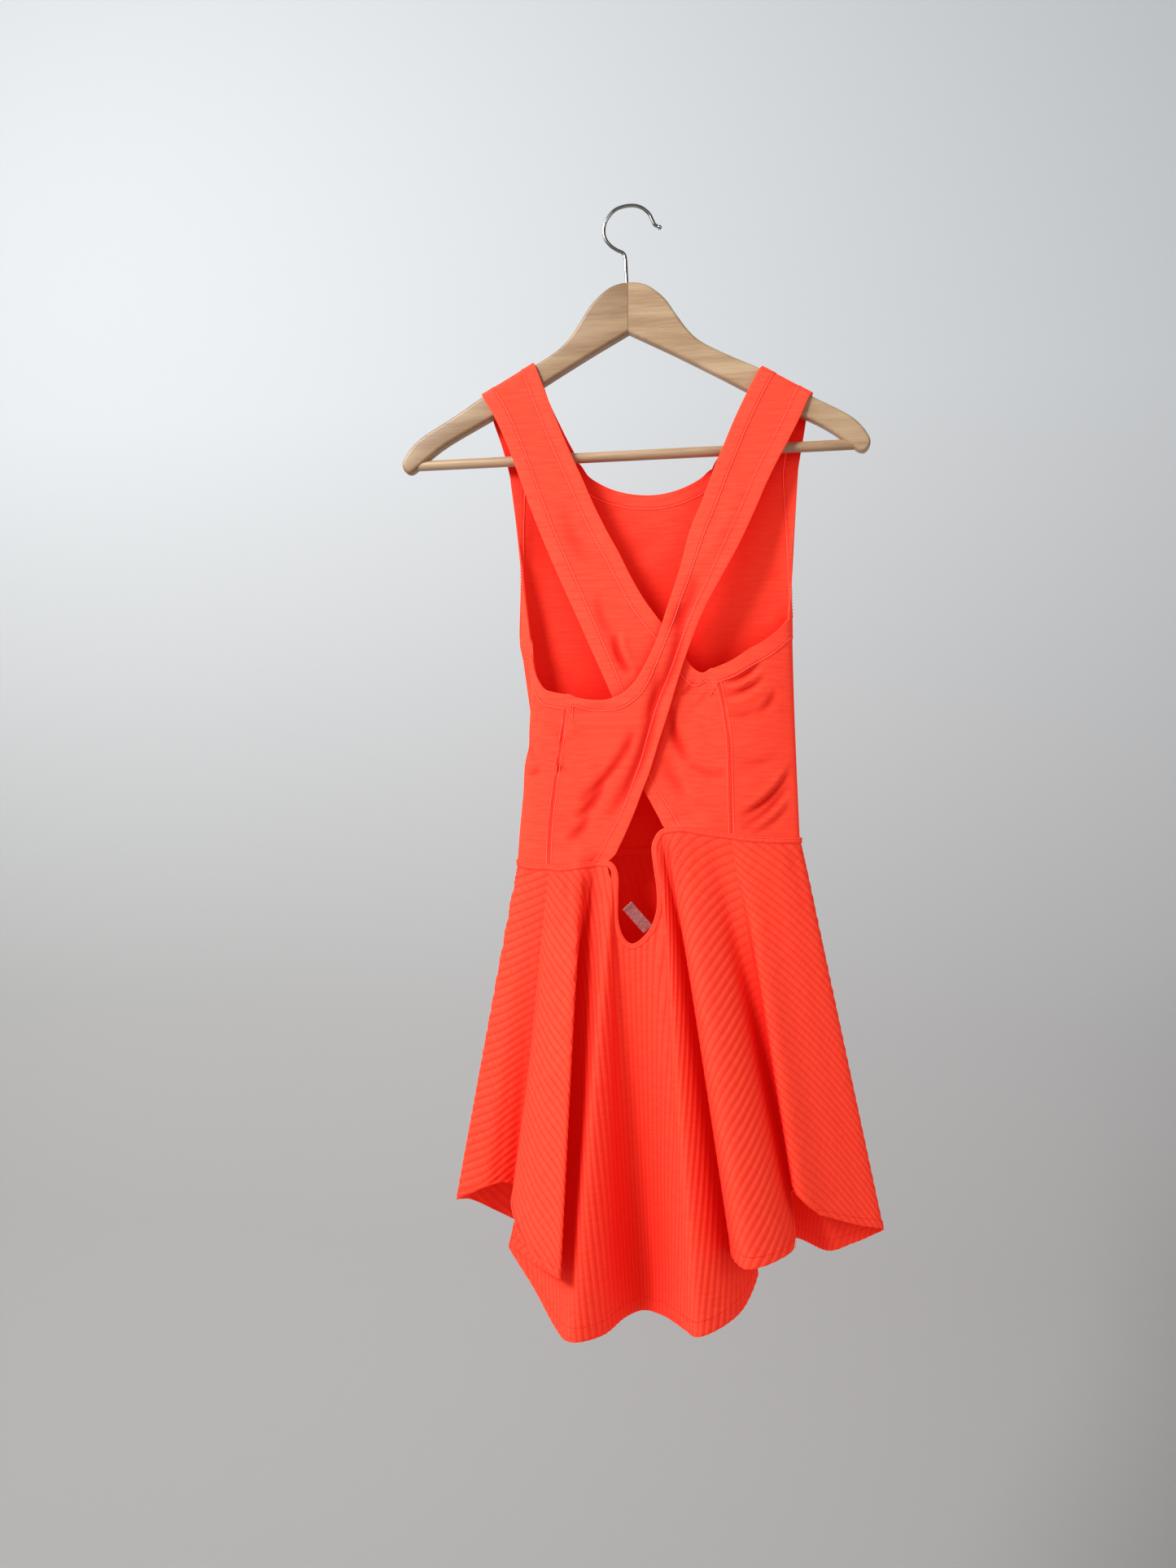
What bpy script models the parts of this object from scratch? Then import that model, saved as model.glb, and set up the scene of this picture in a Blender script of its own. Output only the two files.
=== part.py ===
"""A sleeveless tennis dress with crossed back straps and a ribbed circle skirt, on a wooden hanger.

The frame: the origin is the point of the hook that a nail or rail touches, +X runs along the
hanger to the right as the back of the dress is seen, -Y is the side of the open back, and +Z is up.
Tables are in millimetres, and MM turns them into metres when a mesh is made.
"""

import math

import bmesh
import bpy
import numpy as np
from mathutils import Vector

MM = 0.001

# Hanger
ARM_THICKNESS = 12.0
ARM_EDGE_ROUND = 5.0
MITRE_GAP = 0.3
BAR_RADIUS = 4.8
BAR_Z = -231.8
BAR_HALF = 205.0
BAR_SOCKET_CLEARANCE = 0.3
WIRE_RADIUS = 1.65
HOOK_TIP_RADIUS = 2.05
HOOK_TIP_X = 29.0
HOOK_TIP_Z = -21.0

# Cloth
WALL = 1.2
BAND_WALL = 2.0
SEAM_INSET = 0.3
SKIRT_SEAM_INSET = 0.8
STRAP_ROLL_RADIUS = 7.9
STRAP_LIFT = 1.0
STRAP_BAND = 14.0
RIGHT_SHOULDER = (122.0, 167.0)
LEFT_SHOULDER = (-89.0, -139.5)
SIDE_BLEND_COLUMNS = 5.0

# Waist binding
BINDING_HALF_WIDTH = 3.0
BINDING_THICKNESS = 2.6
BINDING_CLEARANCE = 0.5
UPRIGHT_CLEARANCE = 2.6
BODICE_CLEARANCE = 0.8
RING_CENTRE_X = 26.0
RING_HALF_X = 133.0
RING_HALF_Y = 17.0

# Skirt
RIB_PITCH = 7.2
RIB_HEIGHT = 0.6
BACK_WAIST_RADIUS = 84.0
FRONT_WAIST_RADIUS = 174.0
NOTCH_LEFT = -18.0
NOTCH_RIGHT = 25.2
NOTCH_SIDE = 61.0
SKIRT_HALF_ANGLE = math.radians(60.0)
SKIRT_WALL = 1.6

# Clear tab inside the keyhole
TAB_LENGTH = 28.0
TAB_WIDTH = 11.0
TAB_THICKNESS = 0.8
TAB_CENTRE = (11.0, -17.4, -661.0)
TAB_TURN = math.radians(48.0)

# One half of the hanger, from the middle outwards: distance along, height of the top edge.
HANGER_TOP = (
    ("out", "z"),
    (0.0, -71.5),
    (9.0, -72.3),
    (20.0, -76.5),
    (34.0, -88.5),
    (44.0, -103.0),
    (55.0, -118.5),
    (68.0, -131.0),
    (92.0, -144.5),
    (125.0, -161.0),
    (166.0, -186.0),
    (198.0, -204.0),
    (211.0, -215.0),
    (218.5, -226.0),
    (219.5, -233.0),
    (215.5, -239.0),
)
# The same half's lower edge, from the tip back to the middle.
HANGER_LOW = (
    ("out", "z"),
    (209.0, -238.5),
    (198.0, -229.5),
    (174.0, -213.0),
    (130.0, -190.5),
    (108.0, -178.0),
    (83.0, -163.5),
    (40.0, -139.5),
    (0.0, -118.5),
)

# The hook's wire, from the stem in the wood up and round to the tip.
HOOK_ROUTE = (
    ("x", "z"),
    (-1.8, -71.0),
    (-2.4, -60.0),
    (-3.2, -47.1),
    (-5.3, -42.3),
    (-11.2, -38.9),
    (-17.1, -34.4),
    (-21.8, -28.1),
    (-23.6, -21.0),
    (-22.4, -12.9),
    (-18.9, -6.8),
    (-13.6, -1.6),
    (-7.0, 0.9),
    (0.0, 1.65),
    (6.8, 0.9),
    (13.4, -2.1),
    (19.3, -7.8),
    (22.2, -13.8),
    (24.3, -18.0),
    (26.9, -20.0),
)

# The skirt's folds, in order from the left back seam across the back. Each row is one line of
# cloth from the waist to the hem. cut_x and drop place its top end in the flat cut: the distance
# from the middle, and how far below the waist's arc the keyhole's edge hangs. hem_angle is the
# angle of its lower end in the flat cut.
SKIRT_BACK = (
    ("waist_x", "waist_y", "waist_z", "cut_x", "drop", "hem_x", "hem_y", "hem_z", "hem_angle"),
    (-73, -15.0, -616, -72.7, 0, -111, 12, -925, -60.0),
    (-63, -17.0, -617, -64.0, 0, -110, -8, -941, -56.5),
    (-53, -19.0, -616, -55.0, 0, -86, -42, -962, -51.0),
    (-43, -21.0, -614, -45.0, 0, -52, -68, -976, -45.0),
    (-35, -18.0, -613, -37.5, 0, -86, -20, -984, -37.0),
    (-28, -16.0, -612, -31.0, 0, -121, 25, -987, -30.0),
    (-21, -18.0, -612, -24.5, 0, -88, -8, -1012, -24.0),
    (-14, -20.0, -613, -18.0, 0, -60, -38, -1035, -18.0),
    (-9.5, -20.5, -622, -18.0, 12, -42, -62, -1034, -13.5),
    (-9.5, -20.5, -642, -18.0, 30, -18, -44, -1034, -9.5),
    (-9.5, -20.0, -662, -18.0, 48, -4, -12, -1032, -5.5),
    (-6, -19.5, -677, -18.0, 62, 8, 4, -1031, -2.0),
    (1, -19.0, -686, -9.0, 73, 18, 5, -1030, 0.5),
    (9, -19.0, -687, 4.0, 77, 28, -6, -1027, 3.0),
    (18, -19.0, -680.5, 16.5, 74, 39, -22, -1023, 5.5),
    (26.5, -19.5, -669, 25.2, 62, 50, -40, -1020, 8.5),
    (31.5, -20.0, -653, 25.2, 46, 60, -56, -1018, 11.0),
    (31.5, -20.5, -633, 25.2, 28, 72, -70, -1016, 14.0),
    (28.5, -20.5, -612, 25.2, 11, 94, -52, -1011, 17.5),
    (27, -20.0, -596, 25.2, 0, 109, -26, -1004, 21.0),
    (30, -18.0, -587, 31.0, 0, 119, 3, -985, 26.0),
    (34, -18.0, -582.5, 37.0, 0, 112, -26, -962, 32.0),
    (40, -20.0, -580.5, 42.5, 0, 99.5, -50, -951, 37.5),
    (48, -21.0, -579.5, 48.0, 0, 113, -76, -952, 42.0),
    (57, -20.0, -580, 54.0, 0, 137, -62, -949, 46.0),
    (67, -19.0, -582, 60.0, 0, 153, -34, -944, 50.5),
    (81, -16.5, -584, 67.0, 0, 151, 5, -925, 55.5),
    (96, -14.0, -586, 72.7, 0, 156.5, -14, -906, 60.0),
)
CORNER_LEFT_ROW = 7
CORNER_RIGHT_ROW = 21
LEFT_CORNER_TRIM = 0.4
RIGHT_CORNER_TRIM = 0.6

# The skirt's front, from the right back seam round the right side.
SKIRT_RIGHT_SIDE = (
    ("waist_x", "waist_y", "waist_z", "cut_x", "drop", "hem_x", "hem_y", "hem_z", "hem_angle"),
    (96, -14.0, -586, -150.7, 0, 156.5, -14, -906, -60.0),
    (102, -13.0, -587, -147.5, 0, 152, -34, -894, -57.0),
    (109, -12.0, -588, -143.5, 0, 162, -37, -911, -55.0),
    (121, -9.0, -589, -137.0, 0, 185, -20, -924, -51.0),
    (140, -3.0, -590, -125.5, 0, 210, -3, -935, -46.0),
    (157, 6.0, -590, -112.0, 0, 231, 13, -943, -41.0),
    (154, 13.0, -590, -105.0, 0, 222, 27, -955, -38.0),
    (147, 16.0, -591, -98.0, 0, 204, 25, -963, -34.5),
)
# The skirt's front where it lies against the wall: plain waves, wall side and room side in turn.
FRONT_WAVES = 9
FRONT_WAVE_START = (138.0, 17.0, -591.0, -91.0, 0.0, 182.0, 30.0, -968.0, -31.0)
FRONT_WAVE_END = (-84.0, 16.0, -609.0, 118.0, 0.0, -100.0, 40.0, -978.0, 42.0)
FRONT_WALL_SIDE_Y = 47.0
FRONT_ROOM_SIDE_Y = 18.0
FRONT_LEFT_ROOM_SIDE_Y = 36.0
LEFT_WAVES_FROM = 0.72
# The skirt's front round the left side to the left back seam.
SKIRT_LEFT_SIDE = (
    ("waist_x", "waist_y", "waist_z", "cut_x", "drop", "hem_x", "hem_y", "hem_z", "hem_angle"),
    (-96, 14.0, -611, 125.5, 0, -140, 36, -957, 46.5),
    (-103, 10.0, -612, 131.0, 0, -160, 28, -946, 49.0),
    (-107, 3.0, -613, 136.0, 0, -169.5, 12, -940, 51.5),
    (-97, -8.0, -615, 141.5, 0, -142, 4, -926, 54.5),
    (-85, -12.5, -616, 146.0, 0, -125, 8, -920, 57.5),
    (-73, -15.0, -616, 150.7, 0, -111, 12, -925, 60.0),
)
DENSE_ROWS = 61
NOTCH_DENSE_ROW = 9
FOLD_TOLERANCE = 1.7
CORNER_TRIM = 4.0
RIB_FADE_ROWS = 4.0

# The outer strap and left back panel, from the right shoulder down to the waist: its armhole
# edge and its keyhole edge.
BACK_LEFT = (
    ("arm_x", "arm_y", "arm_z", "key_x", "key_y", "key_z"),
    (109.6, -9.5, -183, 157, -9.5, -208),
    (98.6, -11, -206.5, 146, -11, -230),
    (89.8, -12.5, -228, 137, -12.5, -247),
    (80.9, -14, -250, 127, -14, -268),
    (69.8, -16, -280, 116, -16, -294),
    (58.7, -18, -308, 103, -18, -322),
    (49.8, -19.5, -342, 88, -19.5, -350),
    (38.6, -21, -377, 72, -21, -380),
    (29.6, -22, -404, 59.5, -22, -411),
    (18.3, -22.5, -429, 49, -22.5, -442),
    (4.7, -22, -449, 40, -22.5, -472),
    (-13.5, -20, -459.5, 31, -22.5, -500),
    (-32, -18, -460.5, 23, -22, -526),
    (-46, -16.5, -458, 16, -21.5, -544),
    (-56.5, -15.5, -455, 10, -21, -560),
    (-57.2, -16, -469, 5.5, -20.7, -571),
    (-59, -16.5, -490, 2, -20.5, -579),
    (-64, -16.5, -520, -2, -20.3, -588),
    (-68, -16.5, -551, -6, -20.2, -596),
    (-71.5, -16, -582, -9.5, -20.2, -603),
)
BACK_LEFT_CORNER = 14

# The inner strap and right back panel, from the left shoulder down to the waist.
BACK_RIGHT = (
    ("arm_x", "arm_y", "arm_z", "key_x", "key_y", "key_z"),
    (-78, -9.2, -170, -127, -9.2, -191),
    (-66, -10, -200, -115, -10, -217),
    (-54, -11, -228, -104, -11, -245),
    (-42, -12, -254, -93, -12, -275),
    (-31, -13, -279, -82, -13, -303),
    (-19, -14, -303, -70, -14, -331),
    (-7, -14.5, -325, -58, -14.5, -358),
    (4, -15, -347, -46, -15, -384),
    (15.4, -15.5, -367, -34.5, -15.5, -410),
    (26, -16, -382, -23, -16, -435),
    (36, -16, -395, -12.5, -16, -459),
    (46, -16, -409, -2, -16, -486),
    (54, -16, -422, 6, -16, -513),
    (61, -16, -432, 12, -16, -532),
    (70, -15.5, -437, 17, -16.3, -545),
    (80, -14.5, -433, 22, -16.7, -553.5),
    (84.5, -15, -446.5, 25, -17, -559),
    (90, -15.5, -470, 28, -17.4, -564.5),
    (94, -15.5, -500, 30.5, -17.8, -569),
    (95, -15.5, -530, 32.5, -18, -573),
    (95.5, -15, -557, 34.5, -18.2, -577),
)
BACK_RIGHT_CORNER = 15

# The front's armhole edge row, from the right seam round the front to the left seam.
ARMHOLE_ROW_RIGHT = (
    ("x", "y", "z"),
    (80, -14.5, -433),
    (96, -12.5, -426),
    (111, -10, -416),
    (126, -6.5, -407),
    (138, -1.5, -397),
    (147, 4, -387),
    (149.5, 10.5, -386),
    (144, 14.7, -386),
    (132, 15, -386),
)
ARMHOLE_ROW_LEFT = (
    ("x", "y", "z"),
    (-90, 14.5, -400),
    (-102, 9.5, -400),
    (-103.5, -1, -400),
    (-92, -8.5, -402),
    (-89.5, -11, -420),
    (-85, -13.5, -437),
    (-77, -15, -449.5),
    (-67, -15.5, -453),
    (-56.5, -15.5, -455),
)
# The front's neck edge row, from the right armhole edge to the left armhole edge.
NECK_ROW = (
    ("x", "y", "z"),
    (156, 9.5, -247),
    (142.5, 11, -246),
    (125, 12.5, -245.5),
    (107.5, 13.5, -245),
    (90, 14.5, -245),
    (76.5, 15, -244),
    (65.5, 15, -252.5),
    (53, 15, -259),
    (39.5, 15, -263.5),
    (25, 15, -265.8),
    (11, 15, -265.6),
    (-3, 15, -263.5),
    (-16.5, 15, -259.5),
    (-29, 15, -253.5),
    (-41, 15, -245),
    (-51, 15, -232),
    (-64, 14.5, -233.5),
    (-77, 13.5, -235),
    (-90, 12, -237),
    (-103.5, 10.5, -239),
    (-117, 9.5, -241),
)
# Rows of the two front straps above the neck row: outer edge and neck edge of each.
FRONT_STRAPS = (
    ("right_out_x", "right_in_x", "left_in_x", "left_out_x", "right_out_z", "right_in_z", "left_in_z", "left_out_z"),
    (159.5, 92, -64, -124, -226, -219, -204, -216),
    (162.5, 108, -78, -132, -207, -189, -174, -192),
)
FRONT_STRAP_Y = (11.5, 9.5)
ARM_COLUMN = 5
NECK_COLUMN = 10
FRONT_COLUMNS = 31
BELOW_NECK_ROWS = (0.0, 0.33, 0.66, 1.0)
ROLL_ANGLES = (0.0, 40.0, 75.0, 88.5)


def table(rows):
    """A table's rows under its column names, as one array for each column."""
    values = np.array(rows[1:], float)
    return {name: values[:, i] for i, name in enumerate(rows[0])}


def columns(rows, *names):
    """The named columns of a table, side by side."""
    named = table(rows)
    return np.stack([named[name] for name in names], axis=1)


def unit(vectors):
    return vectors / np.linalg.norm(vectors, axis=-1, keepdims=True)


def curve_through(points, closed):
    """A smooth curve through a table's rows, as a function of the row number."""
    points = np.asarray(points, float)
    count = len(points)
    if not closed:
        first = 2 * points[0] - points[1]
        last = 2 * points[-1] - points[-2]
        points = np.vstack([first, points, last])

    def at(k):
        k = np.asarray(k, float)
        if closed:
            i = np.floor(k).astype(int)
            u = (k - i)[:, None]
            p0, p1, p2, p3 = (points[(i + step) % count] for step in (-1, 0, 1, 2))
        else:
            i = np.clip(np.floor(k).astype(int), 0, count - 2)
            u = (k - i)[:, None]
            p0, p1, p2, p3 = (points[i + step] for step in (0, 1, 2, 3))
        return 0.5 * (
            2 * p1
            + (p2 - p0) * u
            + (2 * p0 - 5 * p1 + 4 * p2 - p3) * u**2
            + (3 * p1 - p0 - 3 * p2 + p3) * u**3
        )

    return at


def spread_evenly(points, count):
    """That many points at equal steps along a line of points."""
    steps = np.linalg.norm(np.diff(points, axis=0), axis=1)
    along = np.concatenate([[0.0], np.cumsum(steps)])
    targets = np.linspace(0.0, along[-1], count)
    return np.stack([np.interp(targets, along, points[:, axis]) for axis in range(3)], axis=1)


def front_wave_rows():
    """The rows of the plain waves at the front, worked out from their first and last row."""
    start = np.array(FRONT_WAVE_START)
    end = np.array(FRONT_WAVE_END)
    rows = []
    for i in range(FRONT_WAVES + 1):
        share = i / FRONT_WAVES
        row = start + (end - start) * share
        room_side = FRONT_ROOM_SIDE_Y if share < LEFT_WAVES_FROM else FRONT_LEFT_ROOM_SIDE_Y
        row[6] = room_side if i % 2 == 0 else FRONT_WALL_SIDE_Y
        rows.append(row)
    return rows


def skirt_rows():
    """All rows of the skirt, back first, with the two seams' rows only once."""
    names = ("waist_x", "waist_y", "waist_z", "cut_x", "drop", "hem_x", "hem_y", "hem_z", "hem_angle")
    back = columns(SKIRT_BACK, *names)
    right = columns(SKIRT_RIGHT_SIDE, *names)
    left = columns(SKIRT_LEFT_SIDE, *names)
    front = np.vstack([right, np.array(front_wave_rows()), left])
    return back, front


BACK_ROWS, FRONT_ROWS = skirt_rows()
SEAM_RIGHT_ROW = len(BACK_ROWS) - 1
RING_ROWS = np.vstack([BACK_ROWS, FRONT_ROWS[1:-1]])
RING_COUNT = len(RING_ROWS)
waist_at = curve_through(RING_ROWS[:, 0:3], closed=True)
hem_at = curve_through(RING_ROWS[:, 5:8], closed=True)


def ring_outward(points):
    """The direction out of the flattened ring of the body, level, at points on it."""
    across = (points[:, 0] - RING_CENTRE_X) / RING_HALF_X
    deep = points[:, 1] / RING_HALF_Y
    out = np.zeros_like(points)
    out[:, 0] = np.sign(across) * np.abs(across) ** 5 / RING_HALF_X
    out[:, 1] = np.sign(deep) * np.abs(deep) ** 5 / RING_HALF_Y
    return unit(out)


def waist_frame(k):
    """Points of the waist seam, the way out of the cloth, and the way towards the bodice."""
    step = 0.02
    points = waist_at(k)
    along = unit(waist_at(k + step) - waist_at(k - step))
    outward = ring_outward(points)
    up = unit(np.cross(outward, along))
    outward = unit(np.cross(along, up))
    return points, outward, up


def bodice_waist(k):
    """The bodice's lower edge: just above the binding."""
    points, _, up = waist_frame(k)
    return points + up * (BINDING_HALF_WIDTH + BODICE_CLEARANCE)


def skirt_waist(k):
    """The skirt's upper edge: just below the binding, and further off where the seam runs upright."""
    points, outward, up = waist_frame(k)
    steepness = np.abs(np.cross(up, outward)[:, 2:3])
    return points - up * (BINDING_HALF_WIDTH + BINDING_CLEARANCE + UPRIGHT_CLEARANCE * steepness)


def hanger_top(x):
    """The height of the hanger's top edge at a distance from its middle."""
    edge = table(HANGER_TOP)
    return np.interp(np.abs(x), edge["out"][:11], edge["z"][:11])


def strap_roll(x_from, x_to, share, angle, side):
    """A point of cloth that rolls over the hanger's arm: side is -1 at the back and 1 at the front."""
    ends = [np.array([x, 0.0, hanger_top(x)]) for x in (x_from, x_to)]
    along = unit(ends[1] - ends[0])
    up = np.array([-along[2], 0.0, along[0]])
    if up[2] < 0:
        up = -up
    middle = ends[0] + (ends[1] - ends[0]) * share - up * (ARM_THICKNESS / 2 - STRAP_LIFT)
    tilt = math.radians(angle)
    reach = STRAP_ROLL_RADIUS
    return middle + reach * (up * math.sin(tilt) + np.array([0.0, side * math.cos(tilt), 0.0]))


def shares_across(width, inner_columns):
    """Shares of a strap's width: a band, equal steps, and a band."""
    band = min(STRAP_BAND / width, 0.3)
    return np.concatenate([[0.0], np.linspace(band, 1.0 - band, inner_columns + 1), [1.0]])


def material(name, colour, roughness, metallic=0.0, alpha=1.0):
    made = bpy.data.materials.new(name)
    made.use_nodes = True
    shader = made.node_tree.nodes["Principled BSDF"]
    shader.inputs["Base Color"].default_value = (*colour, 1.0)
    shader.inputs["Roughness"].default_value = roughness
    shader.inputs["Metallic"].default_value = metallic
    shader.inputs["Alpha"].default_value = alpha
    return made


def add_object(name, mesh, finish, collection):
    made = bpy.data.objects.new(name, mesh)
    made.data.materials.clear()
    made.data.materials.append(finish)
    collection.objects.link(made)
    return made


def grid_normals(grid, outward_hint):
    """The way out of a grid of points, on the side of the hint."""
    along = np.gradient(grid, axis=1)
    down = np.gradient(grid, axis=0)
    normals = np.cross(along, down)
    lengths = np.linalg.norm(normals, axis=-1, keepdims=True)
    normals = normals / np.maximum(lengths, 1e-9)
    facing = np.sum(normals * outward_hint, axis=-1).sum()
    return normals if facing > 0 else -normals


def cell_corners(row, column):
    return ((row, column), (row, column + 1), (row + 1, column + 1), (row + 1, column))


def outline_edges(cells):
    """The edges of the chosen cells that no second cell shares, each with its own cell."""
    edges = {}
    for cell in sorted(cells):
        ring = cell_corners(*cell)
        for start, end in zip(ring, ring[1:] + ring[:1]):
            edges[(start, end)] = cell
    return {edge: cell for edge, cell in edges.items() if (edge[1], edge[0]) not in edges}


def inset_edges(grid, cells):
    """The grid with the chosen cells' outline pulled inwards, for the gap at a seam."""
    pulls = {}
    for (start, end), cell in outline_edges(cells).items():
        middle = np.mean([grid[corner] for corner in cell_corners(*cell)], axis=0)
        along = unit(grid[end] - grid[start])
        inwards = middle - (grid[start] + grid[end]) / 2
        inwards = unit(inwards - along * np.dot(inwards, along))
        for corner in (start, end):
            pulls.setdefault(corner, []).append(inwards)
    moved = grid.copy()
    for corner, (first, second) in pulls.items():
        moved[corner] += SEAM_INSET * (first + second) / (1.0 + max(np.dot(first, second), -0.4))
    return moved


def cloth_piece(name, grid, normals, cells, wall, finish, collection):
    """One closed piece of cloth from the chosen cells of a grid of middle points."""
    moved = inset_edges(grid, cells)
    outer = moved + normals * wall / 2
    inner = moved - normals * wall / 2
    built = bmesh.new()
    corners = sorted({corner for cell in cells for corner in cell_corners(*cell)})
    top = {corner: built.verts.new(Vector(outer[corner]) * MM) for corner in corners}
    under = {corner: built.verts.new(Vector(inner[corner]) * MM) for corner in corners}
    for cell in sorted(cells):
        ring = cell_corners(*cell)
        built.faces.new([top[corner] for corner in ring])
        built.faces.new([under[corner] for corner in reversed(ring)])
    for start, end in outline_edges(cells):
        built.faces.new([top[end], top[start], under[start], under[end]])
    return finish_mesh(name, built, finish, collection)


def finish_mesh(name, built, finish, collection):
    bmesh.ops.recalc_face_normals(built, faces=built.faces)
    mesh = bpy.data.meshes.new(name)
    built.to_mesh(mesh)
    built.free()
    return add_object(name, mesh, finish, collection)


def all_cells(rows, columns_count):
    return {(row, column) for row in range(rows - 1) for column in range(columns_count - 1)}


def make_skirt_cut(rows, waist_radius, first_k):
    """The flat cut of a skirt panel beside its place in space, for each row number."""
    cut_x, drop, angle = rows[:, 3], rows[:, 4], np.radians(rows[:, 8])
    radius = waist_radius + drop
    top = np.stack([cut_x, -np.sqrt(radius**2 - cut_x**2)], axis=1)
    lengths = np.linalg.norm(rows[:, 5:8] - rows[:, 0:3], axis=1)
    way = np.stack([np.sin(angle), -np.cos(angle)], axis=1)
    along = np.sum(top * way, axis=1)
    reach = along + np.sqrt(along**2 - np.sum(top * top, axis=1) + lengths**2)
    hem = way * reach[:, None]
    fine = np.linspace(0.0, len(rows) - 1.0, 40 * (len(rows) - 1) + 1)
    tops = curve_through(top, closed=False)(fine)
    hems = curve_through(hem, closed=False)(fine)
    start = skirt_waist(first_k + fine)
    end = hem_at(first_k + fine)
    return tops, hems, start, end


def place_on_skirt(cut, points):
    """Points of the flat cut, moved to their place in space along the straight lines of its folds."""
    tops, hems, start, end = cut
    way = hems - tops
    placed = np.empty((len(points), 3))
    for n, point in enumerate(points):
        to_point = point - tops
        side = way[:, 0] * to_point[:, 1] - way[:, 1] * to_point[:, 0]
        share = np.sum(to_point * way, axis=1) / np.sum(way * way, axis=1)
        crosses = np.nonzero((side[:-1] * side[1:] <= 0) & (share[:-1] > -0.2) & (share[:-1] < 1.2))[0]
        if len(crosses):
            best = crosses[np.argmin(np.abs(side[crosses]) + np.abs(side[crosses + 1]))]
            gap = side[best] - side[best + 1]
            part = side[best] / gap if gap else 0.0
        else:
            best, part = (0, 0.0) if abs(side[0]) < abs(side[-1]) else (len(side) - 2, 1.0)
        t = np.clip(share[best] + (share[best + 1] - share[best]) * part, 0.0, 1.0)
        top = start[best] + (start[best + 1] - start[best]) * part
        low = end[best] + (end[best + 1] - end[best]) * part
        placed[n] = top + (low - top) * t
    return placed


def cut_heights(cut, x, waist_radius, notched):
    """Where the upright line at x enters and leaves the flat cut, and where the notch's end crosses it."""
    tops, hems, _, _ = cut
    low = np.interp(x, hems[:, 0], hems[:, 1])
    if abs(x) < waist_radius * math.sin(SKIRT_HALF_ANGLE):
        high = -math.sqrt(waist_radius**2 - x * x)
    else:
        high = -abs(x) / math.tan(SKIRT_HALF_ANGLE) - SKIRT_SEAM_INSET / math.sin(SKIRT_HALF_ANGLE)
    notch_end = None
    if notched and NOTCH_LEFT - 0.1 <= x <= NOTCH_RIGHT + 0.1:
        end = tops[tops[:, 1] < -waist_radius - NOTCH_SIDE]
        notch_end = np.interp(x, end[:, 0], end[:, 1])
    return high, low, notch_end


def needed_points(line, always):
    """The fewest points of a dense line that keep it within the tolerance, and those always kept."""
    chosen = sorted({0, len(line) - 1, *always})
    spans = list(zip(chosen, chosen[1:]))
    while spans:
        first, last = spans.pop()
        if last - first < 2:
            continue
        way = line[last] - line[first]
        offset = line[first + 1 : last] - line[first]
        share = np.clip(offset @ way / np.dot(way, way), 0.0, 1.0)
        gaps = np.linalg.norm(offset - share[:, None] * way, axis=1)
        worst = int(np.argmax(gaps))
        if gaps[worst] > FOLD_TOLERANCE:
            middle = first + 1 + worst
            chosen.append(middle)
            spans += [(first, middle), (middle, last)]
    return sorted(set(chosen))


def skirt_columns(rows, waist_radius, first_k, notched):
    """The upright lines of a panel's cut, dense in space, with the number of each line's rib step."""
    cut = make_skirt_cut(rows, waist_radius, first_k)
    step = RIB_PITCH / 2
    left = math.ceil((cut[1][0, 0] + CORNER_TRIM) / step)
    right = math.floor((cut[1][-1, 0] - CORNER_TRIM) / step)
    numbers = list(range(left, right + 1))
    flat = np.empty((DENSE_ROWS, len(numbers), 2))
    starts = []
    for c, i in enumerate(numbers):
        high, low, notch_end = cut_heights(cut, i * step, waist_radius, notched)
        start = 0
        heights = np.linspace(high, low, DENSE_ROWS)
        if notch_end is not None:
            start = NOTCH_DENSE_ROW
            heights[:start] = np.linspace(high, notch_end, start, endpoint=False)
            heights[start:] = np.linspace(notch_end, low, DENSE_ROWS - start)
        flat[:, c, 0] = i * step
        flat[:, c, 1] = heights
        starts.append(start)
    grid = place_on_skirt(cut, flat.reshape(-1, 2)).reshape(DENSE_ROWS, len(numbers), 3)
    return grid, numbers, starts


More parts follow.
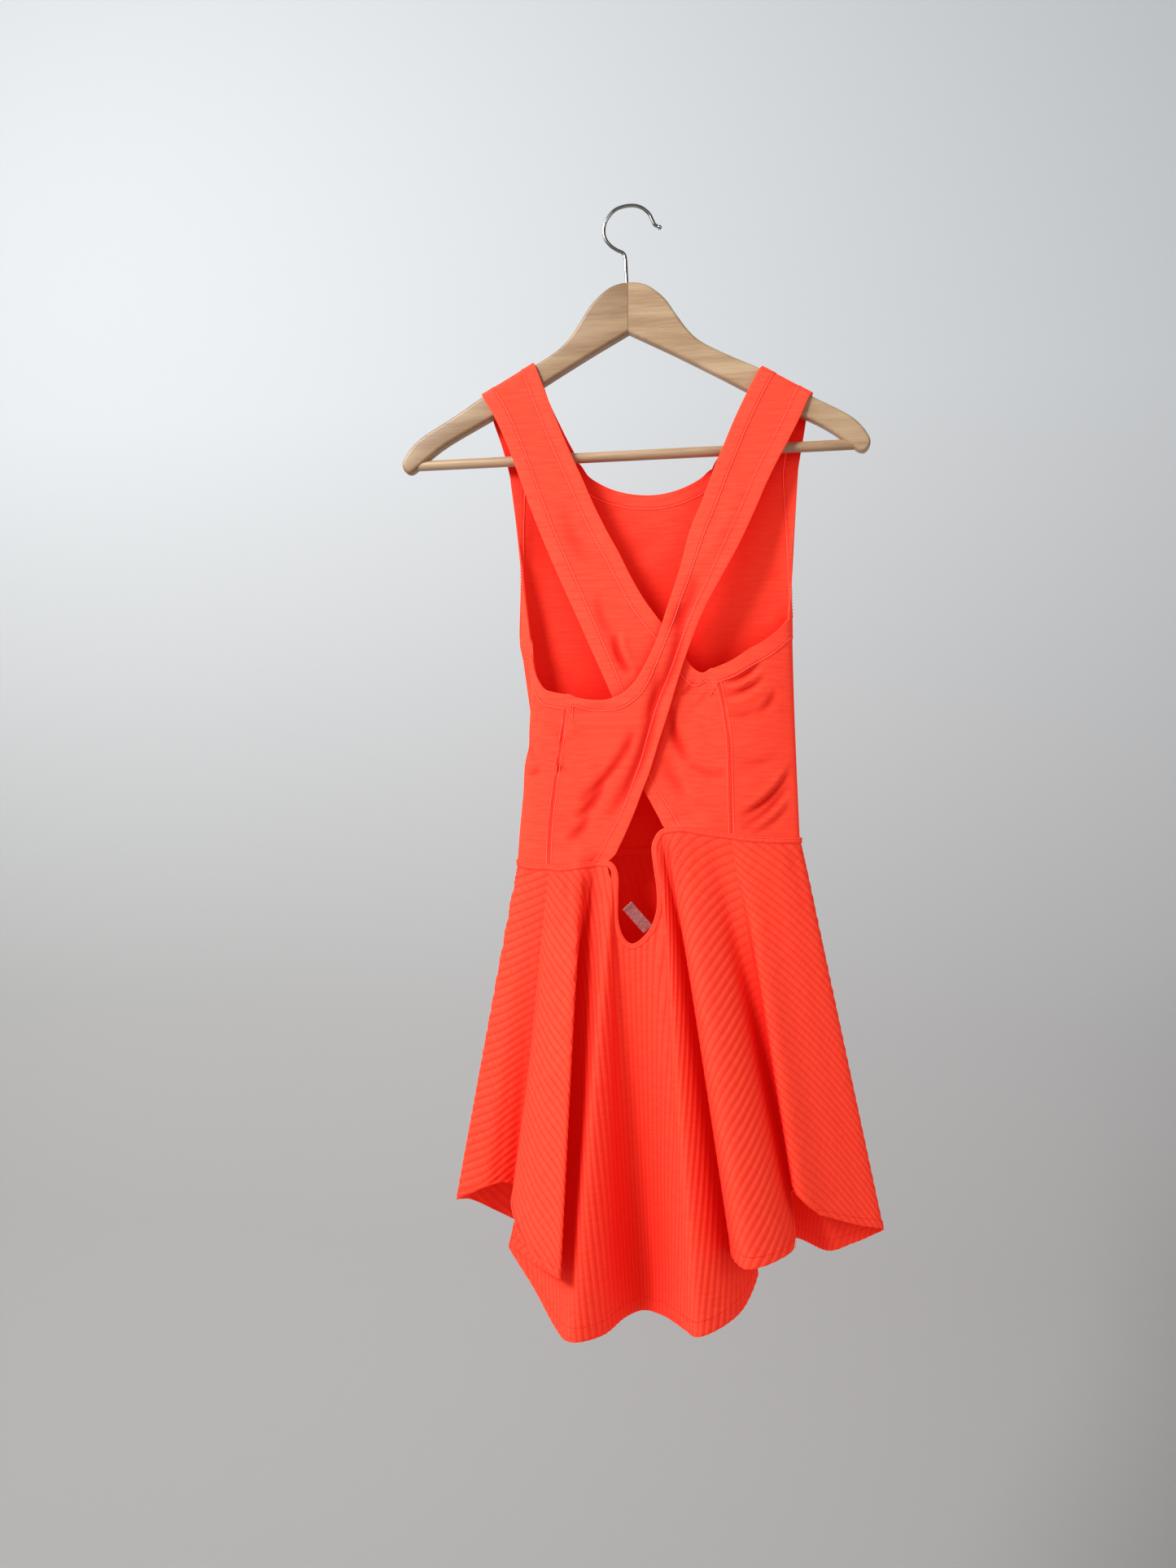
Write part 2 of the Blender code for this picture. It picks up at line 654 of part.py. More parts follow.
def ribbed_panel(name, rows, waist_radius, first_k, notched, finish, collection):
    """A skirt panel: ribs stand on its outer face, and its inner face is plain."""
    grid, numbers, starts = skirt_columns(rows, waist_radius, first_k, notched)
    hint = ring_outward(grid.reshape(-1, 3)).reshape(grid.shape)
    normals = grid_normals(grid, hint)
    ribs = np.array([0.0 if i % 2 else RIB_HEIGHT for i in numbers])
    fade = np.minimum(1.0, np.arange(DENSE_ROWS) / RIB_FADE_ROWS)
    outer = grid + normals * (SKIRT_WALL / 2 + fade[:, None] * ribs[None, :])[:, :, None]
    inner = grid - normals * SKIRT_WALL / 2
    count = len(numbers)
    kept = [c for c in range(count) if numbers[c] % 2 or c in (0, count - 1)]
    sides = [c for c in range(count) if starts[c] and not (starts[c - 1] and starts[c + 1])]
    built = bmesh.new()
    top, under = [], []
    for c in range(count):
        first = 0 if c in sides else starts[c]
        line = grid[first:, c]
        always = (starts[c] - first, DENSE_ROWS - 1 - first)
        picked = [first + i for i in needed_points(line, always)]
        top.append([(i, built.verts.new(Vector(outer[i, c]) * MM)) for i in picked])
        if c in kept:
            under.append([(i, built.verts.new(Vector(inner[i, c]) * MM)) for i in picked])
        else:
            under.append([])

    def right_of(c, line, neighbour):
        start = starts[c] if c in sides and starts[neighbour] else 0
        return [vert for i, vert in line if i >= start]

    for c in range(count - 1):
        join_lines(built, right_of(c, top[c], c + 1), right_of(c + 1, top[c + 1], c), False)
    for first, last in zip(kept, kept[1:]):
        near = right_of(first, under[first], first + 1)
        far = right_of(last, under[last], last - 1)
        join_lines(built, near, far, True)
        tops = [right_of(first, top[first], first + 1)]
        tops += [[vert for _, vert in top[c]] for c in range(first + 1, last)]
        tops += [right_of(last, top[last], last - 1)]
        close_rim(built, [line[0] for line in tops], (near[0], far[0]), False)
        close_rim(built, [line[-1] for line in tops], (near[-1], far[-1]), True)
    for c in (0, count - 1, *sides):
        outside = [vert for i, vert in top[c] if c not in sides or i <= starts[c]]
        inside = [vert for i, vert in under[c] if c not in sides or i <= starts[c]]
        for i in range(len(outside) - 1):
            built.faces.new((outside[i], outside[i + 1], inside[i + 1], inside[i]))
    return finish_mesh(name, built, finish, collection)


def join_lines(built, left, right, turned):
    """Triangles between two lines of points, always across the shorter way."""
    i = j = 0
    while i < len(left) - 1 or j < len(right) - 1:
        down_left = (left[i + 1].co - right[j].co).length if i < len(left) - 1 else math.inf
        down_right = (left[i].co - right[j + 1].co).length if j < len(right) - 1 else math.inf
        if down_left <= down_right:
            face = [left[i], left[i + 1], right[j]]
            i += 1
        else:
            face = [left[i], right[j + 1], right[j]]
            j += 1
        built.faces.new(reversed(face) if turned else face)


def close_rim(built, line, ends, turned):
    """Closes the rim between a line of outer points and the two inner points below its ends."""
    middle = len(line) // 2
    faces = []
    for i in range(len(line) - 1):
        near = ends[0] if i < middle else ends[1]
        faces.append([line[i + 1], line[i], near])
    faces.append([line[middle], ends[0], ends[1]])
    for face in faces:
        built.faces.new(reversed(face) if turned else face)


def build_skirt(finish, collection):
    ribbed_panel("skirt_back", BACK_ROWS, BACK_WAIST_RADIUS, 0.0, True, finish, collection)
    first_k = float(SEAM_RIGHT_ROW)
    ribbed_panel("skirt_front", FRONT_ROWS, FRONT_WAIST_RADIUS, first_k, False, finish, collection)


def back_panel_grid(rows, shoulder, waist_k, inner_columns):
    """The grid of a crossed back strap and the panel that it grows into."""
    arm = columns(rows, "arm_x", "arm_y", "arm_z")
    key = columns(rows, "key_x", "key_y", "key_z")
    lines = []
    for angle in reversed(ROLL_ANGLES):
        ends = [strap_roll(shoulder[0], shoulder[1], share, angle, -1.0) for share in (0.0, 1.0)]
        lines.append(ends)
    lines += [[a, b] for a, b in zip(arm, key)]
    grid = []
    for start, end in lines:
        shares = shares_across(np.linalg.norm(end - start), inner_columns)
        grid.append(start + (end - start) * shares[:, None])
    hem = bodice_waist(np.linspace(waist_k[0], waist_k[1], 60))
    along = np.concatenate([[0.0], np.cumsum(np.linalg.norm(np.diff(hem, axis=0), axis=1))])
    shares = shares_across(along[-1], inner_columns) * along[-1]
    grid.append(np.stack([np.interp(shares, along, hem[:, axis]) for axis in range(3)], axis=1))
    return np.array(grid)


def build_back_panels(jersey, band, collection):
    left_waist = (0.0, CORNER_LEFT_ROW - LEFT_CORNER_TRIM)
    right_waist = (float(SEAM_RIGHT_ROW), CORNER_RIGHT_ROW + RIGHT_CORNER_TRIM)
    sets = (
        ("left", BACK_LEFT, RIGHT_SHOULDER, left_waist, BACK_LEFT_CORNER),
        ("right", BACK_RIGHT, LEFT_SHOULDER, right_waist, BACK_RIGHT_CORNER),
    )
    for side, rows, shoulder, waist_k, corner in sets:
        grid = back_panel_grid(rows, shoulder, waist_k, 4)
        normals = grid_normals(grid, np.array([0.0, -1.0, 0.0]))
        rows_count, columns_count = grid.shape[:2]
        last = len(ROLL_ANGLES) + corner + 1
        arm_cells = {(row, 0) for row in range(last)}
        key_cells = {(row, columns_count - 2) for row in range(rows_count - 1)}
        middle = all_cells(rows_count, columns_count) - arm_cells - key_cells
        cloth_piece(f"back_{side}", grid, normals, middle, WALL, jersey, collection)
        cloth_piece(f"back_{side}_armhole_band", grid, normals, arm_cells, BAND_WALL, band, collection)
        cloth_piece(f"back_{side}_keyhole_band", grid, normals, key_cells, BAND_WALL, band, collection)


def seam_points(rows, corner):
    arm = columns(rows, "arm_x", "arm_y", "arm_z")
    return arm[corner:]


def front_grid():
    """The grid of the bodice front, which wraps round both sides to the back seams."""
    right = columns(ARMHOLE_ROW_RIGHT, "x", "y", "z")
    left = columns(ARMHOLE_ROW_LEFT, "x", "y", "z")
    between = FRONT_COLUMNS - len(right) - len(left) + 2
    middle = spread_evenly(np.vstack([right[-1], left[0]]), between)[1:-1]
    armhole = np.vstack([right, middle, left])
    k = np.linspace(SEAM_RIGHT_ROW, RING_COUNT, 400)
    waist = spread_evenly(bodice_waist(k), FRONT_COLUMNS)
    seam_right = np.vstack([seam_points(BACK_RIGHT, BACK_RIGHT_CORNER), waist[0]])[::-1]
    seam_left = np.vstack([seam_points(BACK_LEFT, BACK_LEFT_CORNER), waist[-1]])[::-1]
    steps = np.linalg.norm(np.diff(seam_right, axis=0), axis=1)
    shares = np.concatenate([[0.0], np.cumsum(steps)]) / steps.sum()
    blend = np.maximum(0.0, 1.0 - np.arange(FRONT_COLUMNS) / SIDE_BLEND_COLUMNS)[:, None]
    rows = []
    for j, share in enumerate(shares):
        row = waist + (armhole - waist) * share
        row = row + (seam_right[j] - row[0]) * blend + (seam_left[j] - row[-1]) * blend[::-1]
        rows.append(row)
    upper = []
    first, last = ARM_COLUMN, FRONT_COLUMNS - 1 - ARM_COLUMN
    neck = columns(NECK_ROW, "x", "y", "z")
    below_neck = neck_band_row(neck)
    for share in BELOW_NECK_ROWS[1:]:
        row = armhole[first : last + 1] + (below_neck - armhole[first : last + 1]) * share
        upper.append(row)
    upper.append(neck)
    for i, y in enumerate(FRONT_STRAP_Y):
        upper.append(strap_row(i, y, len(neck)))
    for angle in ROLL_ANGLES:
        upper.append(roll_row(angle, len(neck)))
    full = []
    for row in upper:
        padded = np.vstack([armhole[:first], row, armhole[last + 1 :]])
        full.append(padded)
    return np.array(rows + full), len(rows) - 1


def neck_band_row(neck):
    """The line one band's width below the neck edge row."""
    along = unit(np.gradient(neck, axis=0))
    down = unit(np.cross(along, np.array([0.0, 1.0, 0.0])))
    down[down[:, 2] > 0] *= -1
    return neck + down * STRAP_BAND


def strap_pair(outer_right, inner_right, inner_left, outer_left, count):
    """One row across both straps, with the neck's columns gathered unused at the middle."""
    width = np.linalg.norm(inner_right - outer_right)
    shares = shares_across(width, NECK_COLUMN - ARM_COLUMN - 2)
    right = outer_right + (inner_right - outer_right) * shares[:, None]
    width = np.linalg.norm(outer_left - inner_left)
    shares = shares_across(width, NECK_COLUMN - ARM_COLUMN - 2)
    left = inner_left + (outer_left - inner_left) * shares[:, None]
    gap = count - len(right) - len(left)
    middle = right[-1] + (left[0] - right[-1]) * (np.arange(1, gap + 1) / (gap + 1))[:, None]
    return np.vstack([right, middle, left])


def strap_row(i, y, count):
    named = table(FRONT_STRAPS)
    places = []
    for which in ("right_out", "right_in", "left_in", "left_out"):
        places.append(np.array([named[which + "_x"][i], y, named[which + "_z"][i]]))
    return strap_pair(*places, count)


def roll_row(angle, count):
    places = [
        strap_roll(*RIGHT_SHOULDER, 1.0, angle, 1.0),
        strap_roll(*RIGHT_SHOULDER, 0.0, angle, 1.0),
        strap_roll(*LEFT_SHOULDER, 0.0, angle, 1.0),
        strap_roll(*LEFT_SHOULDER, 1.0, angle, 1.0),
    ]
    return strap_pair(*places, count)


def build_front(jersey, band, collection):
    grid, armhole_row = front_grid()
    count = FRONT_COLUMNS
    first, last = ARM_COLUMN, count - 1 - ARM_COLUMN
    neck_left = count - 1 - NECK_COLUMN
    neck_row = armhole_row + len(BELOW_NECK_ROWS)
    top = len(grid) - 1
    normals = np.empty_like(grid)
    hint = ring_outward(grid.reshape(-1, 3)).reshape(grid.shape)
    lower = slice(0, armhole_row + 1)
    normals[lower] = grid_normals(grid[lower], hint[lower])
    body = grid[armhole_row:, first : last + 1]
    upper = grid_normals(body, np.array([0.0, 1.0, 0.0]))
    right = grid_normals(grid[neck_row:, first : NECK_COLUMN + 1], np.array([0.0, 1.0, 0.0]))
    left = grid_normals(grid[neck_row:, neck_left : last + 1], np.array([0.0, 1.0, 0.0]))
    normals[armhole_row + 1 :, first : last + 1] = upper[1:]
    normals[neck_row + 1 :, first : NECK_COLUMN + 1] = right[1:]
    normals[neck_row + 1 :, neck_left : last + 1] = left[1:]
    cells = {(row, column) for row in range(armhole_row) for column in range(count - 1)}
    cells |= {(row, column) for row in range(armhole_row, neck_row) for column in range(first, last)}
    cells |= {(row, column) for row in range(neck_row, top) for column in range(first, NECK_COLUMN)}
    cells |= {(row, column) for row in range(neck_row, top) for column in range(neck_left, last)}
    right_band = {(armhole_row - 1, column) for column in range(first + 1)}
    right_band |= {(row, first) for row in range(armhole_row, top)}
    left_band = {(armhole_row - 1, column) for column in range(last - 1, count - 1)}
    left_band |= {(row, last - 1) for row in range(armhole_row, top)}
    neck_band = {(neck_row - 1, column) for column in range(NECK_COLUMN - 1, neck_left + 1)}
    neck_band |= {(row, NECK_COLUMN - 1) for row in range(neck_row, top)}
    neck_band |= {(row, neck_left) for row in range(neck_row, top)}
    panel = cells - right_band - left_band - neck_band
    cloth_piece("bodice_front", grid, normals, panel, WALL, jersey, collection)
    cloth_piece("front_right_armhole_band", grid, normals, right_band, BAND_WALL, band, collection)
    cloth_piece("front_left_armhole_band", grid, normals, left_band, BAND_WALL, band, collection)
    cloth_piece("front_neck_band", grid, normals, neck_band, BAND_WALL, band, collection)


def build_waist_binding(finish, collection):
    """The binding: one closed band along the waist seam and round the keyhole's lower end."""
    k = np.arange(0.0, RING_COUNT, 0.5)
    points, outward, up = waist_frame(k)
    half = BINDING_THICKNESS / 2
    section = (
        (BINDING_HALF_WIDTH, -half),
        (BINDING_HALF_WIDTH, half),
        (-BINDING_HALF_WIDTH, half),
        (-BINDING_HALF_WIDTH, -half),
    )
    built = bmesh.new()
    rings = []
    for point, out, rise in zip(points, outward, up):
        rings.append([built.verts.new(Vector(point + rise * a + out * b) * MM) for a, b in section])
    for ring, following in zip(rings, rings[1:] + rings[:1]):
        for i in range(len(section)):
            j = (i + 1) % len(section)
            built.faces.new((ring[i], ring[j], following[j], following[i]))
    finish_mesh("waist_binding", built, finish, collection)


def build_tab(finish, collection):
    bpy.ops.mesh.primitive_cube_add(size=1.0)
    tab = bpy.context.active_object
    tab.name = "clear_tab"
    tab.scale = (TAB_LENGTH * MM, TAB_THICKNESS * MM, TAB_WIDTH * MM)
    tab.location = Vector(TAB_CENTRE) * MM
    tab.rotation_euler = (0.0, TAB_TURN, 0.0)
    tab.data.materials.append(finish)
    move_to(tab, collection)


def move_to(made, collection):
    for holder in list(made.users_collection):
        holder.objects.unlink(made)
    collection.objects.link(made)


def outline_mesh(name, outline, thickness, rounding):
    """A flat outline as a 2D curve with rounded edges, turned into a mesh that stands in XZ."""
    curve = bpy.data.curves.new(name, "CURVE")
    curve.dimensions = "2D"
    curve.fill_mode = "BOTH"
    curve.extrude = (thickness / 2 - rounding) * MM
    curve.bevel_depth = rounding * MM
    curve.bevel_resolution = 2
    curve.offset = -rounding * MM
    spline = curve.splines.new("POLY")
    spline.points.add(len(outline) - 1)
    for point, (x, z) in zip(spline.points, outline):
        point.co = (x * MM, z * MM, 0.0, 1.0)
    spline.use_cyclic_u = True
    holder = bpy.data.objects.new(name, curve)
    bpy.context.scene.collection.objects.link(holder)
    holder.rotation_euler = (math.radians(90.0), 0.0, 0.0)
    bpy.context.view_layer.update()
    graph = bpy.context.evaluated_depsgraph_get()
    mesh = bpy.data.meshes.new_from_object(holder.evaluated_get(graph))
    mesh.transform(holder.matrix_world)
    bpy.data.objects.remove(holder)
    bpy.data.curves.remove(curve)
    welded = bmesh.new()
    welded.from_mesh(mesh)
    bmesh.ops.remove_doubles(welded, verts=welded.verts, dist=1e-5)
    bmesh.ops.recalc_face_normals(welded, faces=welded.faces)
    welded.to_mesh(mesh)
    welded.free()
    return mesh


def build_hanger(wood, pale_wood, steel, collection, cutters):
    top = columns(HANGER_TOP, "out", "z")
    low = columns(HANGER_LOW, "out", "z")
    half = [tuple(point) for point in np.vstack([top, low])]
    other = [(-x, z) for x, z in reversed(half) if x > 0.0]
    outline = half + other
    bar_slot = cylinder("bar_slot", BAR_RADIUS + BAR_SOCKET_CLEARANCE, BAR_HALF + BAR_SOCKET_CLEARANCE)
    move_to(bar_slot, cutters)
    for side, sign, finish in (("left", -1.0, pale_wood), ("right", 1.0, wood)):
        mesh = outline_mesh(f"hanger_arm_{side}", outline, ARM_THICKNESS, ARM_EDGE_ROUND)
        arm = add_object(f"hanger_arm_{side}", mesh, finish, collection)
        bpy.ops.mesh.primitive_cube_add(size=1.0)
        half_space = bpy.context.active_object
        half_space.name = f"half_{side}"
        half_space.scale = (300.0 * MM, 60.0 * MM, 300.0 * MM)
        half_space.location = (sign * (150.0 + MITRE_GAP / 2) * MM, 0.0, -150.0 * MM)
        move_to(half_space, cutters)
        add_boolean(arm, half_space, "INTERSECT")
        add_boolean(arm, bar_slot, "DIFFERENCE")
    bar = cylinder("hanger_bar", BAR_RADIUS, BAR_HALF)
    bar.data.materials.append(pale_wood)
    move_to(bar, collection)
    build_hook(steel, collection)


def cylinder(name, radius, half_length):
    bpy.ops.mesh.primitive_cylinder_add(vertices=20, radius=radius * MM, depth=2 * half_length * MM)
    made = bpy.context.active_object
    made.name = name
    made.rotation_euler = (0.0, math.radians(90.0), 0.0)
    made.location = (0.0, 0.0, BAR_Z * MM)
    return made


def add_boolean(target, cutter, operation):
    cut = target.modifiers.new(operation.title(), "BOOLEAN")
    cut.operation = operation
    cut.solver = "EXACT"
    cut.object = cutter


def build_hook(steel, collection):
    route = columns(HOOK_ROUTE, "x", "z")
    route = np.stack([route[:, 0], np.zeros(len(route)), route[:, 1]], axis=1)
    smooth = curve_through(route, closed=False)(np.linspace(0.0, len(route) - 1.001, 2 * len(route)))
    curve = bpy.data.curves.new("hanger_hook", "CURVE")
    curve.dimensions = "3D"
    curve.bevel_depth = WIRE_RADIUS * MM
    curve.bevel_resolution = 2
    curve.use_fill_caps = True
    spline = curve.splines.new("POLY")
    spline.points.add(len(smooth) - 1)
    for point, place in zip(spline.points, smooth):
        point.co = (*(place * MM), 1.0)
    wire = bpy.data.objects.new("hanger_hook", curve)
    collection.objects.link(wire)
    curve.materials.append(steel)
    bpy.ops.mesh.primitive_uv_sphere_add(segments=12, ring_count=8, radius=HOOK_TIP_RADIUS * MM)
    tip = bpy.context.active_object
    tip.name = "hanger_hook_tip"
    tip.location = Vector((HOOK_TIP_X, 0.0, HOOK_TIP_Z)) * MM
    tip.data.materials.append(steel)
    move_to(tip, collection)


def main():
    for made in list(bpy.data.objects):
        bpy.data.objects.remove(made)
    dress = bpy.data.collections.new("Tennis dress on a wooden hanger")
    cutters = bpy.data.collections.new("Cutters")
    for collection in (dress, cutters):
        bpy.context.scene.collection.children.link(collection)
    jersey = material("coral_jersey", (1.0, 0.11, 0.06), 0.8)
    ribbed = material("coral_ribbed_jersey", (1.0, 0.10, 0.05), 0.8)
    band = material("coral_band_jersey", (1.0, 0.13, 0.08), 0.8)
    wood = material("lotus_wood", (0.60, 0.38, 0.20), 0.5)
    pale_wood = material("pale_lotus_wood", (0.68, 0.45, 0.25), 0.5)
    steel = material("satin_steel", (0.55, 0.54, 0.52), 0.3, metallic=1.0)
    clear = material("clear_film", (0.85, 0.80, 0.80), 0.2, alpha=0.4)
    build_hanger(wood, pale_wood, steel, dress, cutters)
    build_front(jersey, band, dress)
    build_back_panels(jersey, band, dress)
    build_waist_binding(band, dress)
    build_skirt(ribbed, dress)
    build_tab(clear, dress)
    for cutter in cutters.objects:
        cutter.hide_render = True
        cutter.display_type = "WIRE"


main()
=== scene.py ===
# %% [markdown]
# # A tennis dress on a wooden hanger
# The object is a sleeveless dress of coral jersey: two wide back straps that cross, a keyhole in the
# lower back, and a ribbed circle skirt. It hangs on a wooden hanger with a steel hook. The solids come
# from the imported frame, and this notebook builds the finished surfaces over them, in millimetres.

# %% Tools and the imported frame
import math

import bmesh
import bpy
import numpy as np
from mathutils import Matrix, Vector


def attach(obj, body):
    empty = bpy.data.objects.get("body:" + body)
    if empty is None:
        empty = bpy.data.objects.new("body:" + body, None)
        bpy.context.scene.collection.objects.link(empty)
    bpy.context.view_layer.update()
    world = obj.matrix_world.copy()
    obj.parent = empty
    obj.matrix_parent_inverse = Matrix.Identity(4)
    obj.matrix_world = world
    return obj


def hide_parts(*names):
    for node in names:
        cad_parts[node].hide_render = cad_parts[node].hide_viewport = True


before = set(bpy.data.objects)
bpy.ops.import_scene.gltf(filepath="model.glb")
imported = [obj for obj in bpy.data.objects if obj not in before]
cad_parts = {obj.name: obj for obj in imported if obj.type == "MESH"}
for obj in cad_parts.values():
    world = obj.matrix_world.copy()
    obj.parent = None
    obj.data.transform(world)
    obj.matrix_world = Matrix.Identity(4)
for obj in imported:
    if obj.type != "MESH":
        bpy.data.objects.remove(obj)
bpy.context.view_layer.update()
MM = 0.001
print("solids in the frame:", len(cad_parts))

# %% [markdown]
# ## Tables and curves
# A garment is cut from a few lines, so each line is a short table with named columns, one row for
# each place that matters. A Catmull-Rom curve passes through every row, which keeps the listed
# places true, where a Bezier fit would drift off them.

# %% Reading tables and passing curves through them

# Small enough to change nothing that is seen: it guards divisions and comparisons of places.
TINY = 1e-9


def table(rows):
    """A table's columns by name. Its first row holds the names."""
    values = np.array(rows[1:], float)
    return {name: values[:, i] for i, name in enumerate(rows[0])}


def columns(rows, *names):
    """The named columns of a table, side by side."""
    named = table(rows)
    return np.stack([named[name] for name in names], axis=1)


def unit(vectors):
    """Vectors drawn to the length 1."""
    return vectors / np.maximum(np.linalg.norm(vectors, axis=-1, keepdims=True), TINY)


def curve_through(points, closed=False):
    """A smooth curve through rows of numbers, as a function of the row number."""
    points = np.asarray(points, float)
    count = len(points)
    if not closed:
        first = 2 * points[0] - points[1]
        last = 2 * points[-1] - points[-2]
        points = np.vstack([first, points, last])

    def at(k):
        k = np.asarray(k, float)
        if closed:
            i = np.floor(k).astype(int)
            u = (k - i)[:, None]
            p0, p1, p2, p3 = (points[(i + step) % count] for step in (-1, 0, 1, 2))
        else:
            i = np.clip(np.floor(k).astype(int), 0, count - 2)
            u = (k - i)[:, None]
            p0, p1, p2, p3 = (points[i + step] for step in (0, 1, 2, 3))
        a = 2 * p0 - 5 * p1 + 4 * p2 - p3
        b = 3 * p1 - p0 - 3 * p2 + p3
        return 0.5 * (2 * p1 + (p2 - p0) * u + a * u**2 + b * u**3)

    return at


def spread_evenly(points, count):
    """A chosen number of places at even steps along a line of points."""
    steps = np.linalg.norm(np.diff(points, axis=0), axis=1)
    along = np.concatenate([[0.0], np.cumsum(steps)])
    targets = np.linspace(0.0, along[-1], count)
    return np.stack([np.interp(targets, along, points[:, axis]) for axis in range(3)], axis=1)


def smooth_surface(grid, rows, columns_at):
    """A coarse grid of points, filled in smoothly at fractional rows and columns."""
    down = curve_through(grid.reshape(len(grid), -1))(rows).reshape(len(rows), -1, 3)
    across = curve_through(down.swapaxes(0, 1).reshape(grid.shape[1], -1))(columns_at)
    return across.reshape(len(columns_at), len(rows), 3).swapaxes(0, 1)


# %% [markdown]
# ## Meshes from mapped grids
# Cloth is knitted flat and then bent, and so is its mesh: bmesh makes a flat grid, and its points are
# moved to the cloth's form. The grid's own UV map keeps the flat cut, so that ribs and knit follow
# the cloth. Solidify then gives the wall, and a small Bevel rounds its cut edge.

# %% From a flat grid to a piece of cloth

# The depth, in mm, at which a crease in the cloth has its full painted dark red shade.
TROUGH_FULL = 2.6
MERGE = 1e-6
WALL_EDGE_ANGLE = math.radians(60.0)
WALL_EDGE_SEGMENTS = 2


def mapped_grid(name, points, flat=None, keep=None, outward=None, lift=None):
    """A flat grid moved to rows and columns of points in mm.

    flat is each point's place in the cut, keep says which cells stay, outward is the way out of
    the cloth, and lift is each point's height over the smooth form, which sets the painted shade in
    creases.
    """
    rows, count = points.shape[:2]
    built = bmesh.new()
    bmesh.ops.create_grid(built, x_segments=count - 1, y_segments=rows - 1, size=0.5)
    if keep is not None:
        dropped = []
        for face in built.faces:
            middle = face.calc_center_median()
            row = int((0.5 - middle.y) * (rows - 1))
            column = int((middle.x + 0.5) * (count - 1))
            if not keep[row, column]:
                dropped.append(face)
        bmesh.ops.delete(built, geom=dropped, context="FACES")
    mesh = bpy.data.meshes.new(name)
    built.to_mesh(mesh)
    built.free()
    places = np.empty(len(mesh.vertices) * 3)
    mesh.vertices.foreach_get("co", places)
    places = places.reshape(-1, 3)
    column = np.rint((places[:, 0] + 0.5) * (count - 1)).astype(int)
    row = np.rint((0.5 - places[:, 1]) * (rows - 1)).astype(int)
    mesh.vertices.foreach_set("co", (points[row, column] * MM).ravel())
    if flat is None:
        along = np.linalg.norm(np.diff(points, axis=1), axis=2)
        across_mm = np.hstack([np.zeros((rows, 1)), np.cumsum(along, axis=1)])
        down = np.linalg.norm(np.diff(points, axis=0), axis=2)
        down_mm = np.vstack([np.zeros((1, count)), np.cumsum(down, axis=0)])
        flat = np.stack([across_mm, -down_mm], axis=2)
    corners = np.empty(len(mesh.loops), dtype=int)
    mesh.loops.foreach_get("vertex_index", corners)
    cut = mesh.uv_layers.new(name="cut")
    cut.uv.foreach_set("vector", (flat[row[corners], column[corners]] * MM).ravel())
    if lift is not None:
        trough = mesh.attributes.new("trough", "FLOAT", "POINT")
        trough.data.foreach_set("value", np.clip(-lift[row, column] / TROUGH_FULL, 0.0, 1.0))
    mesh.update()
    if outward is not None:
        facing = 0.0
        for face in mesh.polygons:
            corner = face.vertices[0]
            facing += face.normal.dot(Vector(outward[row[corner], column[corner]]))
        if facing < 0:
            mesh.flip_normals()
    mesh.shade_smooth()
    return mesh


def add_piece(name, mesh, finish, nodes=()):
    """Puts a mesh in the scene, on the part's one body, standing for its solids."""
    piece = bpy.data.objects.new(name, mesh)
    bpy.context.scene.collection.objects.link(piece)
    mesh.materials.clear()
    mesh.materials.append(finish)
    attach(piece, "root")
    if nodes:
        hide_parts(*nodes)
    return piece


def clean_mesh(mesh, merge=MERGE):
    """Merges doubled points and turns every face outward."""
    built = bmesh.new()
    built.from_mesh(mesh)
    bmesh.ops.remove_doubles(built, verts=built.verts, dist=merge)
    bmesh.ops.recalc_face_normals(built, faces=built.faces)
    built.to_mesh(mesh)
    built.free()
    mesh.shade_smooth()


def give_wall(piece, thickness, rounding):
    """Gives a sheet its thickness and rounds its cut edges, both in mm."""
    wall = piece.modifiers.new("Wall", "SOLIDIFY")
    wall.thickness = thickness * MM
    wall.offset = 0.0
    edge = piece.modifiers.new("Soft edge", "BEVEL")
    edge.width = rounding * MM
    edge.segments = WALL_EDGE_SEGMENTS
    edge.limit_method = "ANGLE"
    edge.angle_limit = WALL_EDGE_ANGLE
    return piece


# %% [markdown]
# ## Colours and nodes
# Every colour is picked as an sRGB hex value, as on a screen, and one function turns it to the
# linear values that the shader wants. One small function adds a node with its settings, and a few
# more use it for the kinds that cloth, wood and film share: sums, blends, noise and bumps.

# %% Colour and node helpers


def linear(hex_colour):
    """The linear colour, with full alpha, of an sRGB hex value."""
    channels = [int(hex_colour[i : i + 2], 16) / 255 for i in (1, 3, 5)]
    channels = [c / 12.92 if c <= 0.04045 else ((c + 0.055) / 1.055) ** 2.4 for c in channels]
    return (*channels, 1.0)


def add_node(material, kind, links=None, values=None, **settings):
    """Adds a node: its settings, its plain input values, and the outputs that feed its inputs."""
    tree = material.node_tree
    made = tree.nodes.new(kind)
    for name, value in settings.items():
        setattr(made, name, value)
    for name, value in (values or {}).items():
        made.inputs[name].default_value = value
    for name, output in (links or {}).items():
        tree.links.new(output, made.inputs[name])
    return made


def new_material(name, colour, values):
    """A material with its Principled shader, whose plain values are set on its own sockets."""
    material = bpy.data.materials.new(name)
    material.use_nodes = True
    shader = material.node_tree.nodes["Principled BSDF"]
    shader.inputs["Base Color"].default_value = linear(colour)
    for label, value in values.items():
        shader.inputs[label].default_value = value
    return material, shader


def add_math(material, operation, *values):
    """A sum on numbers and outputs, in the order of the node's inputs."""
    made = add_node(material, "ShaderNodeMath", operation=operation)
    for i, value in enumerate(values):
        if isinstance(value, float):
            made.inputs[i].default_value = value
        else:
            material.node_tree.links.new(value, made.inputs[i])
    return made.outputs["Value"]


